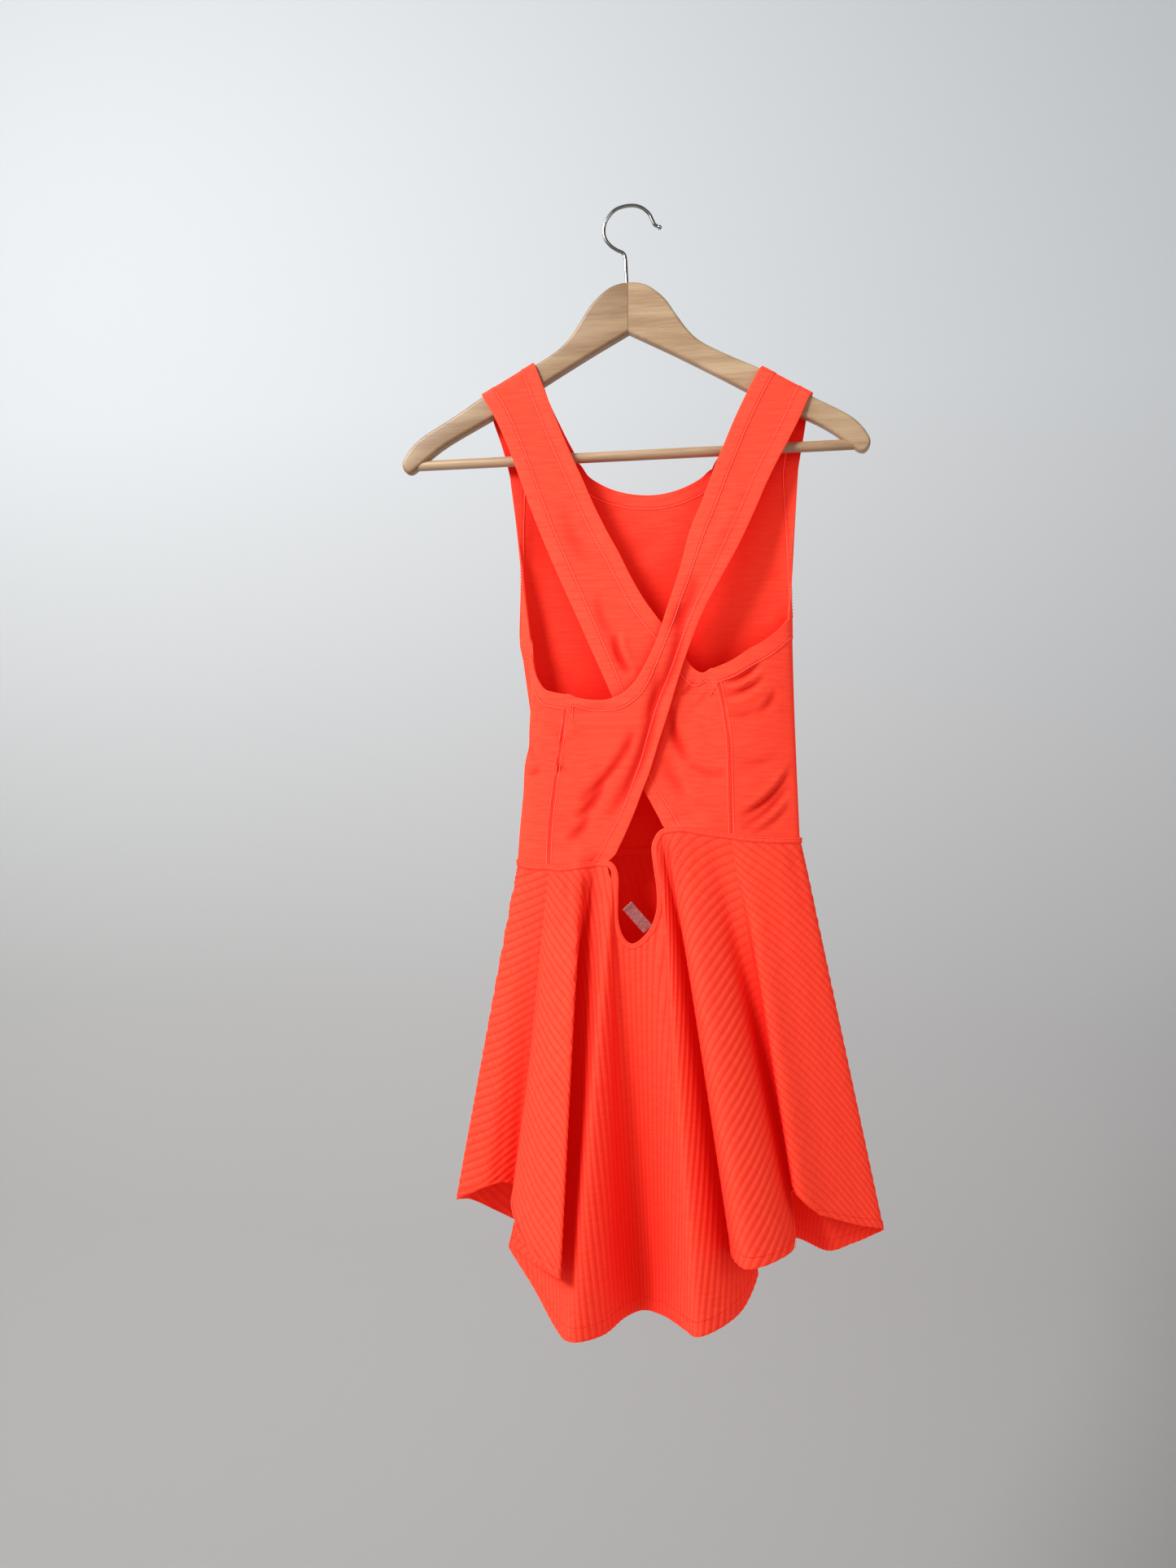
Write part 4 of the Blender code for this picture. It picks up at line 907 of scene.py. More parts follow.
# Mesh columns to a rib, rows down the cloth and, where the keyhole's notch cuts in, rows over it.
RIB_COLUMNS = 4
SKIRT_FINE_ROWS = 56
NOTCH_FINE_ROW = 8
# The cloth runs on under the binding at the loop's left side, so that hardly a slit opens there.
NOTCH_COVER = 1.9
NOTCH_SLACK = 0.1
CORNER_TRIM = 4.0
RIB_FADE_ROWS = 5.0
PLEAT_FADE_ROWS = 3.0
SKIRT_EDGE_ROUND = 0.35
RIB_ROUNDNESS = 0.8
HEM_DEPTH = 12.5
# The most of a line of cloth that its hem may take up, for the short lines at the corners.
HEM_SHARE = 0.4
HEM_ROWS = 4
HEM_RAISE = 0.35


def skirt_heights(cut, x, waist_radius, notched):
    """Where one upright line of the cut starts and ends, and the notch's lower edge on it."""
    tops, hems, _, _ = cut
    low = np.interp(x, hems[:, 0], hems[:, 1])
    if abs(x) < waist_radius * math.sin(SKIRT_HALF_ANGLE):
        high = -math.sqrt(waist_radius**2 - x * x)
    else:
        high = -abs(x) / math.tan(SKIRT_HALF_ANGLE)
    notch_end = None
    if notched and NOTCH_LEFT + NOTCH_COVER <= x <= NOTCH_RIGHT + NOTCH_SLACK:
        end = tops[tops[:, 1] < -waist_radius - NOTCH_SIDE]
        notch_end = np.interp(x, end[:, 0], end[:, 1])
    return high, low, notch_end


def skirt_grid(rows, waist_radius, first_k, notched):
    """Places in the flat cut and in space, and the cells that are cloth."""
    cut = make_skirt_cut(rows, waist_radius, first_k)
    step = RIB_PITCH / RIB_COLUMNS
    left = math.ceil((cut[1][0, 0] + CORNER_TRIM) / step)
    right = math.floor((cut[1][-1, 0] - CORNER_TRIM) / step)
    xs = np.arange(left, right + 1) * step
    flat = np.empty((SKIRT_FINE_ROWS + HEM_ROWS, len(xs), 2))
    keep = np.ones((len(flat) - 1, len(xs) - 1), dtype=bool)
    inside = []
    for c, x in enumerate(xs):
        high, low, notch_end = skirt_heights(cut, x, waist_radius, notched)
        hem_top = low + min(HEM_DEPTH, HEM_SHARE * (high - low))
        start = 0
        heights = np.linspace(high, hem_top, SKIRT_FINE_ROWS, endpoint=False)
        if notch_end is not None:
            start = NOTCH_FINE_ROW
            heights[:start] = np.linspace(high, notch_end, start, endpoint=False)
            heights[start:] = np.linspace(notch_end, hem_top, SKIRT_FINE_ROWS - start, endpoint=False)
        flat[:, c, 0] = x
        flat[:SKIRT_FINE_ROWS, c, 1] = heights
        flat[SKIRT_FINE_ROWS:, c, 1] = np.linspace(hem_top, low, HEM_ROWS)
        inside.append(start > 0)
    for c in range(len(xs) - 1):
        if inside[c] and inside[c + 1]:
            keep[:NOTCH_FINE_ROW, c] = False
    space = place_on_skirt(cut, flat.reshape(-1, 2)).reshape(*flat.shape[:2], 3)
    return flat, space, keep, xs


# Pleats at the waist: where each points, in degrees, then its width, length and depth in mm.
WAIST_GATHERS = (
    ("turn", "width", "length", "depth"),
    (-44, 3.5, 45, -1.1),
    (-37, 3, 60, -1.5),
    (-30, 3, 75, -1.7),
    (-24, 2.6, 50, -1.3),
    (-18, 2.6, 40, 0.9),
    (22, 2.8, 60, -1.3),
    (28, 3, 90, -1.8),
    (35, 3, 55, -1.4),
    (42, 3.2, 40, -1),
    (50, 3, 30, -0.8),
)


def gathers(flat, waist_radius):
    """Small pleats that fan out from the waist seam, in mm of lift."""
    radius = np.linalg.norm(flat, axis=2)
    turn = np.degrees(np.arctan2(flat[..., 0], -flat[..., 1]))
    named = table(WAIST_GATHERS)
    lift = np.zeros(radius.shape)
    for i in range(len(WAIST_GATHERS) - 1):
        away = radius * np.radians(turn - named["turn"][i])
        fade = np.exp(-(((radius - waist_radius) / named["length"][i]) ** 2))
        lift += named["depth"][i] * fade * np.exp(-((away / named["width"][i]) ** 2))
    return lift


def rib_profile(xs):
    """Rounded ribs over the cut, with their crests where the solid's ribs are."""
    return RIB_HEIGHT * (0.5 + 0.5 * np.cos(2 * math.pi * xs / RIB_PITCH)) ** RIB_ROUNDNESS


def make_skirt(name, rows, waist_radius, first_k, notched, node):
    """One half of the skirt. It also gives the hem's stitching line and the cloth's form."""
    flat, space, keep, xs = skirt_grid(rows, waist_radius, first_k, notched)
    hint = ring_outward(space.reshape(-1, 3)).reshape(space.shape)
    normals = surface_normals(space, hint)
    fade = np.minimum(1.0, np.arange(len(flat)) / RIB_FADE_ROWS)
    lift = fade[:, None] * rib_profile(xs)[None, :]
    hem_rows = np.arange(len(flat)) >= SKIRT_FINE_ROWS
    lift = lift + HEM_RAISE * hem_rows[:, None]
    started = np.minimum(1.0, np.arange(len(flat)) / PLEAT_FADE_ROWS)[:, None]
    pleats = started * gathers(flat, waist_radius)
    shell = space + normals * (lift + pleats)[:, :, None]
    mesh = mapped_grid(name, shell, flat, keep, normals, pleats)
    piece = add_piece(name, mesh, ribbed, [node])
    give_wall(piece, SKIRT_WALL, SKIRT_EDGE_ROUND)
    seam = shell[SKIRT_FINE_ROWS] + normals[SKIRT_FINE_ROWS] * SKIRT_WALL / 2
    return piece, seam, normals[SKIRT_FINE_ROWS], shell, normals


skirt_back, back_hem, back_hem_out, back_shell, back_shell_out = make_skirt(
    "skirt_back_cloth", BACK_ROWS, BACK_WAIST_RADIUS, 0.0, True, "skirt_back"
)
skirt_front, front_hem, front_hem_out, _, _ = make_skirt(
    "skirt_front_cloth", FRONT_ROWS, FRONT_WAIST_RADIUS, float(SEAM_RIGHT_ROW), False, "skirt_front"
)
print("skirt faces:", len(skirt_back.data.polygons), len(skirt_front.data.polygons))

# %% [markdown]
# ## The bodice
# The bodice is three pieces of jersey: a front that wraps round both sides, and two back pieces
# that each grow into a strap over the opposite shoulder. Folded bands edge the armholes, the neck
# and the keyhole. All of them are cut from the same coarse grids as the solids, filled in smoothly.

# %% The lines of the bodice

# The outer strap and left back panel, from the right shoulder down to the waist: its armhole
# edge and its keyhole edge.
BACK_LEFT = (
    ("arm_x", "arm_y", "arm_z", "key_x", "key_y", "key_z"),
    (109.6, -9.5, -183, 157, -9.5, -208),
    (98.6, -11, -206.5, 146, -11, -230),
    (89.8, -12.5, -228, 137, -12.5, -247),
    (80.9, -14, -250, 127, -14, -268),
    (69.8, -16, -280, 116, -16, -294),
    (58.7, -18, -308, 103, -18, -322),
    (49.8, -19.5, -342, 88, -19.5, -350),
    (38.6, -21, -377, 72, -21, -380),
    (29.6, -22, -404, 59.5, -22, -411),
    (18.3, -22.5, -429, 49, -22.5, -442),
    (4.7, -22, -449, 40, -22.5, -472),
    (-13.5, -20, -459.5, 31, -22.5, -500),
    (-32, -18, -460.5, 23, -22, -526),
    (-46, -16.5, -458, 16, -21.5, -544),
    (-56.5, -15.5, -455, 10, -21, -560),
    (-57.2, -16, -469, 5.5, -20.7, -571),
    (-59, -16.5, -490, 2, -20.5, -579),
    (-64, -16.5, -520, -2, -20.3, -588),
    (-68, -16.5, -551, -6, -20.2, -596),
    (-71.5, -16, -582, -9.5, -20.2, -603),
)
BACK_LEFT_CORNER = 14

# The inner strap and right back panel, from the left shoulder down to the waist.
BACK_RIGHT = (
    ("arm_x", "arm_y", "arm_z", "key_x", "key_y", "key_z"),
    (-78, -9.2, -170, -127, -9.2, -191),
    (-66, -10, -200, -115, -10, -217),
    (-54, -11, -228, -104, -11, -245),
    (-42, -12, -254, -93, -12, -275),
    (-31, -13, -279, -82, -13, -303),
    (-19, -14, -303, -70, -14, -331),
    (-7, -14.5, -325, -58, -14.5, -358),
    (4, -15, -347, -46, -15, -384),
    (15.4, -15.5, -367, -34.5, -15.5, -410),
    (26, -16, -382, -23, -16, -435),
    (36, -16, -395, -12.5, -16, -459),
    (46, -16, -409, -2, -16, -486),
    (54, -16, -422, 6, -16, -513),
    (61, -16, -432, 12, -16, -532),
    (70, -15.5, -437, 17, -16.3, -545),
    (80, -14.5, -433, 22, -16.7, -553.5),
    (84.5, -15, -446.5, 25, -17, -559),
    (90, -15.5, -470, 28, -17.4, -564.5),
    (94, -15.5, -500, 30.5, -17.8, -569),
    (95, -15.5, -530, 32.5, -18, -573),
    (95.5, -15, -557, 34.5, -18.2, -577),
)
BACK_RIGHT_CORNER = 15

# The front's armhole edge row, from the right seam round the front to the left seam.
ARMHOLE_ROW_RIGHT = (
    ("x", "y", "z"),
    (80, -14.5, -433),
    (96, -12.5, -426),
    (111, -10, -416),
    (126, -6.5, -407),
    (138, -1.5, -397),
    (147, 4, -387),
    (149.5, 10.5, -386),
    (144, 14.7, -386),
    (132, 15, -386),
)
ARMHOLE_ROW_LEFT = (
    ("x", "y", "z"),
    (-90, 14.5, -400),
    (-102, 9.5, -400),
    (-103.5, -1, -400),
    (-92, -8.5, -402),
    (-89.5, -11, -420),
    (-85, -13.5, -437),
    (-77, -15, -449.5),
    (-67, -15.5, -453),
    (-56.5, -15.5, -455),
)
# The front's neck edge row, from the right armhole edge to the left armhole edge.
NECK_ROW = (
    ("x", "y", "z"),
    (156, 9.5, -247),
    (142.5, 11, -246),
    (125, 12.5, -245.5),
    (107.5, 13.5, -245),
    (90, 14.5, -245),
    (76.5, 15, -244),
    (65.5, 15, -252.5),
    (53, 15, -259),
    (39.5, 15, -263.5),
    (25, 15, -265.8),
    (11, 15, -265.6),
    (-3, 15, -263.5),
    (-16.5, 15, -259.5),
    (-29, 15, -253.5),
    (-41, 15, -245),
    (-51, 15, -232),
    (-64, 14.5, -233.5),
    (-77, 13.5, -235),
    (-90, 12, -237),
    (-103.5, 10.5, -239),
    (-117, 9.5, -241),
)
# Rows of the two front straps above the neck row: outer edge and neck edge of each.
FRONT_STRAPS = (
    (
        "right_out_x", "right_in_x", "left_in_x", "left_out_x",
        "right_out_z", "right_in_z", "left_in_z", "left_out_z",
    ),
    (159.5, 92, -64, -124, -226, -219, -204, -216),
    (162.5, 108, -78, -132, -207, -189, -174, -192),
)
FRONT_STRAP_Y = (11.5, 9.5)
# The front's columns: the first inside the armhole, the first inside the neck, and their number.
ARM_COLUMN = 5
NECK_COLUMN = 10
FRONT_COLUMNS = 31
# Rows from the armholes up to the neck's band, as shares, and rows on the straps' rolls, in degrees.
BELOW_NECK_ROWS = (0.0, 0.33, 0.66, 1.0)
ROLL_ANGLES = (0.0, 40.0, 75.0, 88.5)

# %% [markdown]
# Each strap runs over an arm of the hanger in a half circle. The arm's top edge gives its height,
# and a few rows at set angles round the arm carry the cloth from the back to the front.

# %% Straps that roll over the arms

# The rows of the hanger's top edge that straps can lie on, and the most that a band may take up.
STRAP_EDGE_ROWS = 11
WIDEST_BAND = 0.3
WAIST_SAMPLES = 60


def hanger_top(x):
    """The height of the arm's top edge."""
    edge = table(HANGER_TOP)
    return np.interp(np.abs(x), edge["out"][:STRAP_EDGE_ROWS], edge["z"][:STRAP_EDGE_ROWS])


def strap_roll(x_from, x_to, share, angle, side):
    """A point of cloth that rolls over the arm: side is -1 at the back and 1 at the front."""
    ends = [np.array([x, 0.0, hanger_top(x)]) for x in (x_from, x_to)]
    along = unit(ends[1] - ends[0])
    up = np.array([-along[2], 0.0, along[0]])
    if up[2] < 0:
        up = -up
    middle = ends[0] + (ends[1] - ends[0]) * share - up * (ARM_THICKNESS / 2 - STRAP_LIFT)
    tilt = math.radians(angle)
    return middle + STRAP_ROLL_RADIUS * (up * math.sin(tilt) + np.array([0.0, side * math.cos(tilt), 0.0]))


def shares_across(width, inner_columns):
    """Shares of a width: a band at each edge, and even columns between them."""
    band = min(STRAP_BAND / width, WIDEST_BAND)
    return np.concatenate([[0.0], np.linspace(band, 1.0 - band, inner_columns + 1), [1.0]])


def back_panel_grid(rows, shoulder, waist_k, inner_columns):
    """The coarse grid of a back piece, from its strap's roll down to the waist."""
    arm = columns(rows, "arm_x", "arm_y", "arm_z")
    key = columns(rows, "key_x", "key_y", "key_z")
    lines = []
    for angle in reversed(ROLL_ANGLES):
        lines.append([strap_roll(*shoulder, share, angle, -1.0) for share in (0.0, 1.0)])
    lines += [[a, b] for a, b in zip(arm, key)]
    grid = []
    for start, end in lines:
        shares = shares_across(np.linalg.norm(end - start), inner_columns)
        grid.append(start + (end - start) * shares[:, None])
    hem = bodice_waist(np.linspace(waist_k[0], waist_k[1], WAIST_SAMPLES))
    along = np.concatenate([[0.0], np.cumsum(np.linalg.norm(np.diff(hem, axis=0), axis=1))])
    shares = shares_across(along[-1], inner_columns) * along[-1]
    grid.append(np.stack([np.interp(shares, along, hem[:, axis]) for axis in range(3)], axis=1))
    return np.array(grid)


# %% [markdown]
# The front's rows run from one side seam round to the other below the arms. Above them the rows
# only cover what lies between the armholes, and above the neck only the two straps. Unused middle
# columns are filled evenly and left out of the mesh later.

# %% The front's grid

FRONT_WAIST_SAMPLES = 400
STRAP_COLUMNS = NECK_COLUMN - ARM_COLUMN - 2


def neck_band_row(neck):
    """The lower edge of the neck's band."""
    along = unit(np.gradient(neck, axis=0))
    down = unit(np.cross(along, np.array([0.0, 1.0, 0.0])))
    down[down[:, 2] > 0] *= -1
    return neck + down * STRAP_BAND


def strap_pair(outer_right, inner_right, inner_left, outer_left, count):
    """A row across both straps, from four edge places."""
    shares = shares_across(np.linalg.norm(inner_right - outer_right), STRAP_COLUMNS)
    right = outer_right + (inner_right - outer_right) * shares[:, None]
    shares = shares_across(np.linalg.norm(outer_left - inner_left), STRAP_COLUMNS)
    left = inner_left + (outer_left - inner_left) * shares[:, None]
    gap = count - len(right) - len(left)
    middle = right[-1] + (left[0] - right[-1]) * (np.arange(1, gap + 1) / (gap + 1))[:, None]
    return np.vstack([right, middle, left])


def strap_row(i, y, count):
    """A row across both straps where they hang straight."""
    named = table(FRONT_STRAPS)
    places = []
    for which in ("right_out", "right_in", "left_in", "left_out"):
        places.append(np.array([named[which + "_x"][i], y, named[which + "_z"][i]]))
    return strap_pair(*places, count)


def roll_row(angle, count):
    """A row across both straps where they roll over the arms."""
    places = [
        strap_roll(*RIGHT_SHOULDER, 1.0, angle, 1.0),
        strap_roll(*RIGHT_SHOULDER, 0.0, angle, 1.0),
        strap_roll(*LEFT_SHOULDER, 0.0, angle, 1.0),
        strap_roll(*LEFT_SHOULDER, 1.0, angle, 1.0),
    ]
    return strap_pair(*places, count)


def front_grid():
    """The front's coarse grid, and the number of the row at the armholes' lower ends."""
    right = columns(ARMHOLE_ROW_RIGHT, "x", "y", "z")
    left = columns(ARMHOLE_ROW_LEFT, "x", "y", "z")
    between = FRONT_COLUMNS - len(right) - len(left) + 2
    middle = spread_evenly(np.vstack([right[-1], left[0]]), between)[1:-1]
    armhole = np.vstack([right, middle, left])
    waist_k = np.linspace(SEAM_RIGHT_ROW, RING_COUNT, FRONT_WAIST_SAMPLES)
    waist = spread_evenly(bodice_waist(waist_k), FRONT_COLUMNS)
    right_arm = columns(BACK_RIGHT, "arm_x", "arm_y", "arm_z")[BACK_RIGHT_CORNER:]
    left_arm = columns(BACK_LEFT, "arm_x", "arm_y", "arm_z")[BACK_LEFT_CORNER:]
    seam_right = np.vstack([right_arm, waist[0]])[::-1]
    seam_left = np.vstack([left_arm, waist[-1]])[::-1]
    steps = np.linalg.norm(np.diff(seam_right, axis=0), axis=1)
    shares = np.concatenate([[0.0], np.cumsum(steps)]) / steps.sum()
    blend = np.maximum(0.0, 1.0 - np.arange(FRONT_COLUMNS) / SIDE_BLEND_COLUMNS)[:, None]
    rows = []
    for j, share in enumerate(shares):
        row = waist + (armhole - waist) * share
        rows.append(row + (seam_right[j] - row[0]) * blend + (seam_left[j] - row[-1]) * blend[::-1])
    first, last = ARM_COLUMN, FRONT_COLUMNS - 1 - ARM_COLUMN
    neck = columns(NECK_ROW, "x", "y", "z")
    below_neck = neck_band_row(neck)
    upper = []
    for share in BELOW_NECK_ROWS[1:]:
        upper.append(armhole[first : last + 1] + (below_neck - armhole[first : last + 1]) * share)
    upper.append(neck)
    for i, y in enumerate(FRONT_STRAP_Y):
        upper.append(strap_row(i, y, len(neck)))
    for angle in ROLL_ANGLES:
        upper.append(roll_row(angle, len(neck)))
    full = [np.vstack([armhole[:first], row, armhole[last + 1 :]]) for row in upper]
    return np.array(rows + full), len(rows) - 1


# %% [markdown]
# ## Creases
# Jersey pulled by its own weight shows soft diagonal creases near the crossing and small puckers at
# the armhole seam. Each is a row in a table: where it starts and ends, how wide and how deep. A
# negative depth is a trough.

# %% Creases on the back pieces and on the front

LEFT_PANEL_CREASES = (
    ("from_x", "from_z", "to_x", "to_z", "width", "depth"),
    (-44, -556, 9, -488, 4.5, -2.2),
    (-36, -552, 2, -504, 3.5, 1.2),
    (-48, -571, -20, -536, 4.5, -1.7),
    (-56, -592, -33, -566, 4.5, -1.2),
    (-18, -574, 30, -428, 5.5, -2),
    (18, -480, 52, -372, 5.5, -1.6),
    (40, -400, 66, -345, 6, -1.1),
    (-72, -524.5, -56, -521.5, 3.4, -0.8),
    (-70, -518, -58, -515, 2.4, 0.9),
    (-66, -498, -44, -478, 6, 0.8),
    (56, -352, 104, -262, 7, 0.7),
    (-58, -470, -14, -464, 3, -0.5),
)
RIGHT_PANEL_CREASES = (
    ("from_x", "from_z", "to_x", "to_z", "width", "depth"),
    (40, -466, 58, -520, 5, -1.5),
    (50, -458, 64, -442, 3, -0.9),
    (58, -466, 74, -450, 3, 0.7),
    (-12, -400, 4, -438, 4, -1.8),
    (-4, -396, 12, -436, 3.5, 0.9),
    (-28, -362, -8, -410, 5, -0.8),
    (58, -520, 94, -532, 4, -0.7),
    (48, -540, 92, -556, 5, 0.6),
    (34, -512, 62, -556, 6, -0.8),
    (-60, -275, -30, -340, 7, -0.6),
)
FRONT_CREASES = (
    ("from_x", "from_z", "to_x", "to_z", "width", "depth"),
    (90, -447, 124, -426, 2.8, -1.5),
    (94, -452, 126, -433, 2.6, 1),
    (89, -458, 126, -441, 2.8, -1.3),
    (92, -466, 128, -450, 3, 0.8),
    (90, -477, 122, -470, 2.6, -0.9),
    (118, -476, 137, -452, 3.6, -1.2),
    (104, -569, 148, -524, 3.4, -1.9),
    (108, -561, 148, -518, 3.2, 1.2),
    (104, -580, 149, -538, 3.2, -1.6),
    (110, -578, 149, -544, 3, 1),
    (112, -585, 149, -556, 3, -0.9),
    (98, -520, 140, -512, 4, -0.6),
    (-104, -470, -84, -520, 5, -0.7),
    (-100, -500, -80, -560, 6, 0.7),
    (-98, -530, -80, -524, 3, -1.2),
    (-60, -330, 40, -300, 9, 1),
    (-20, -420, 90, -380, 13, -0.55),
    (10, -520, 100, -470, 10, 1),
    (-70, -560, 10, -540, 11, -0.5),
    (60, -300, 120, -345, 8, 0.9),
)
# All the depths are raised by one factor, and each crease bends a little off its straight line.
CREASE_DEPTH = 1.9
CREASE_BEND = 0.08
CREASE_TAPER = 0.8


def creases(points, rows):
    """How far each point moves out, in mm, from a table of soft troughs and ridges."""
    lift = np.zeros(points.shape[:-1])
    named = table(rows)
    for i in range(len(rows) - 1):
        start = np.array([named["from_x"][i], named["from_z"][i]])
        way = np.array([named["to_x"][i], named["to_z"][i]]) - start
        offset = points[..., [0, 2]] - start
        share = np.clip(offset @ way / np.dot(way, way), 0.0, 1.0)
        bend = way[::-1] * np.array([1.0, -1.0]) * CREASE_BEND
        centre = share[..., None] * way + np.sin(math.pi * share)[..., None] * bend
        away = np.linalg.norm(offset - centre, axis=-1)
        taper = np.sin(math.pi * share) ** CREASE_TAPER
        lift += named["depth"][i] * taper * np.exp(-((away / named["width"][i]) ** 2))
    return lift * CREASE_DEPTH


# %% [markdown]
# Each back piece is one smooth grid, and its armhole and keyhole edges are cut from it as bands:
# the folded strips that a maker sews on. A band is folded, so it is thicker than its panel.

# %% The back pieces and their bands

# Fine rows to a coarse one, and fine columns in a band's cell and in a panel's.
CELL_ROWS = 11
BAND_FINE = 4
INNER_FINE = 10
BACK_COLUMNS = 4
CLOTH_EDGE_ROUND = 0.45
CLOTH_EDGE_SHARE = 0.3
FACES_BACK = np.array([0.0, -1.0, 0.0])


def fine_steps(coarse_count, fine_in_cell):
    """Fractional grid places with a chosen number of steps in each coarse cell."""
    places = [np.linspace(i, i + 1, fine_in_cell(i), endpoint=False) for i in range(coarse_count - 1)]
    return np.append(np.concatenate(places), coarse_count - 1.0)


def cloth_from_cells(name, points, normals, lift, row_at, column_at, cells, wall, finish, node):
    """One piece of cloth from coarse cells of a finely filled grid."""
    row_cell = np.floor((row_at[:-1] + row_at[1:]) / 2).astype(int)
    column_cell = np.floor((column_at[:-1] + column_at[1:]) / 2).astype(int)
    keep = np.zeros((len(row_cell), len(column_cell)), dtype=bool)
    for row, column in cells:
        keep |= (row_cell == row)[:, None] & (column_cell == column)[None, :]
    across = np.linalg.norm(np.diff(points, axis=1), axis=2)
    across = np.hstack([np.zeros((len(points), 1)), np.cumsum(across, axis=1)])
    mesh = mapped_grid(name, points, np.stack([across, points[..., 2]], axis=2), keep, normals, lift)
    loose = bmesh.new()
    loose.from_mesh(mesh)
    lone = [vert for vert in loose.verts if not vert.link_faces]
    bmesh.ops.delete(loose, geom=lone, context="VERTS")
    loose.to_mesh(mesh)
    loose.free()
    piece = add_piece(name, mesh, finish, [node])
    give_wall(piece, wall, min(CLOTH_EDGE_ROUND, wall * CLOTH_EDGE_SHARE))
    return piece


back_pieces = {}
back_places = {}
left_waist = (0.0, CORNER_LEFT_ROW - LEFT_CORNER_TRIM)
right_waist = (float(SEAM_RIGHT_ROW), CORNER_RIGHT_ROW + RIGHT_CORNER_TRIM)
for side, rows, shoulder, waist_k, corner, crease_rows in (
    ("left", BACK_LEFT, RIGHT_SHOULDER, left_waist, BACK_LEFT_CORNER, LEFT_PANEL_CREASES),
    ("right", BACK_RIGHT, LEFT_SHOULDER, right_waist, BACK_RIGHT_CORNER, RIGHT_PANEL_CREASES),
):
    coarse = back_panel_grid(rows, shoulder, waist_k, BACK_COLUMNS)
    row_count, column_count = coarse.shape[:2]
    row_at = fine_steps(row_count, lambda i: CELL_ROWS)
    edge_cells = (0, column_count - 2)
    column_at = fine_steps(column_count, lambda i: BAND_FINE if i in edge_cells else INNER_FINE)
    points = smooth_surface(coarse, row_at, column_at)
    normals = surface_normals(points, FACES_BACK)
    panel_lift = creases(points, crease_rows)
    points = points + normals * panel_lift[..., None]
    normals = surface_normals(points, FACES_BACK)
    last = len(ROLL_ANGLES) + corner + 1
    arm_cells = {(row, 0) for row in range(last)}
    key_cells = {(row, column_count - 2) for row in range(row_count - 1)}
    all_cells = {(row, column) for row in range(row_count - 1) for column in range(column_count - 1)}
    made = []
    for part, cells, wall, finish, slot in (
        ("", all_cells - arm_cells - key_cells, WALL, jersey, "coral_jersey"),
        ("_armhole_band", arm_cells, BAND_WALL, band_jersey, "coral_band_jersey"),
        ("_keyhole_band", key_cells, BAND_WALL, band_jersey, "coral_band_jersey"),
    ):
        node = f"back_{side}{part}"
        made.append(
            cloth_from_cells(
                f"{node}_cloth", points, normals, panel_lift, row_at, column_at,
                cells, wall, finish, node,
            )
        )
    back_pieces[side] = made
    back_places[side] = (points, normals, row_at, column_at, last)
print("back pieces:", [piece.name for made in back_pieces.values() for piece in made])

# %% [markdown]
# The front is filled in as one smooth grid too. A curve through unused columns would pull the
# armholes' and the neck's edges aside, so those parts are filled in again by themselves and drawn
# back to the whole over a few rows.

# %% The front and its bands


def blended(base, part, row_slice, column_slice, fade_rows):
    """Lays a finely filled part over the base, with its first rows drawn to the base's own."""
    step = base[row_slice.start, column_slice] - part[0]
    fade = np.maximum(0.0, 1.0 - np.arange(len(part)) / fade_rows)
    base[row_slice, column_slice] = part + step[None] * fade[:, None, None]


coarse, armhole_row = front_grid()
count = FRONT_COLUMNS
first, last = ARM_COLUMN, count - 1 - ARM_COLUMN
neck_left = count - 1 - NECK_COLUMN
neck_row = armhole_row + len(BELOW_NECK_ROWS)
top = len(coarse) - 1
FRONT_FINE = 7
row_at = fine_steps(len(coarse), lambda i: CELL_ROWS)
column_at = fine_steps(count, lambda i: FRONT_FINE)
points = smooth_surface(coarse, row_at, column_at)
outward = np.array([0.0, 1.0, 0.0])
for from_row, columns_from, columns_to in (
    (armhole_row, first, last),
    (neck_row, first, NECK_COLUMN),
    (neck_row, neck_left, last),
):
    part_rows = row_at[row_at >= from_row - TINY]
    chosen = (column_at >= columns_from - TINY) & (column_at <= columns_to + TINY)
    part = smooth_surface(
        coarse[from_row - 1 :, columns_from : columns_to + 1],
        part_rows - (from_row - 1),
        column_at[chosen] - columns_from,
    )
    row_start = len(row_at) - len(part_rows)
    column_start = int(np.argmax(chosen))
    blended(
        points,
        part,
        slice(row_start, len(row_at)),
        slice(column_start, column_start + int(chosen.sum())),
        CELL_ROWS,
    )
normals = np.zeros_like(points)
armhole_fine = int(np.searchsorted(row_at, armhole_row - TINY))
neck_fine = int(np.searchsorted(row_at, neck_row - TINY))
hint = ring_outward(points[: armhole_fine + 1].reshape(-1, 3)).reshape(armhole_fine + 1, -1, 3)
normals[: armhole_fine + 1] = surface_normals(points[: armhole_fine + 1], hint)
for from_fine, columns_from, columns_to in (
    (armhole_fine, first, last),
    (neck_fine, first, NECK_COLUMN),
    (neck_fine, neck_left, last),
):
    a = int(np.searchsorted(column_at, columns_from - TINY))
    b = int(np.searchsorted(column_at, columns_to - TINY)) + 1
    normals[from_fine + 1 :, a:b] = surface_normals(points[from_fine:, a:b], outward)[1:]
front_lift = creases(points, FRONT_CREASES)
points = points + normals * front_lift[..., None]
cells = {(row, column) for row in range(armhole_row) for column in range(count - 1)}
cells |= {(row, column) for row in range(armhole_row, neck_row) for column in range(first, last)}
cells |= {(row, column) for row in range(neck_row, top) for column in range(first, NECK_COLUMN)}
cells |= {(row, column) for row in range(neck_row, top) for column in range(neck_left, last)}
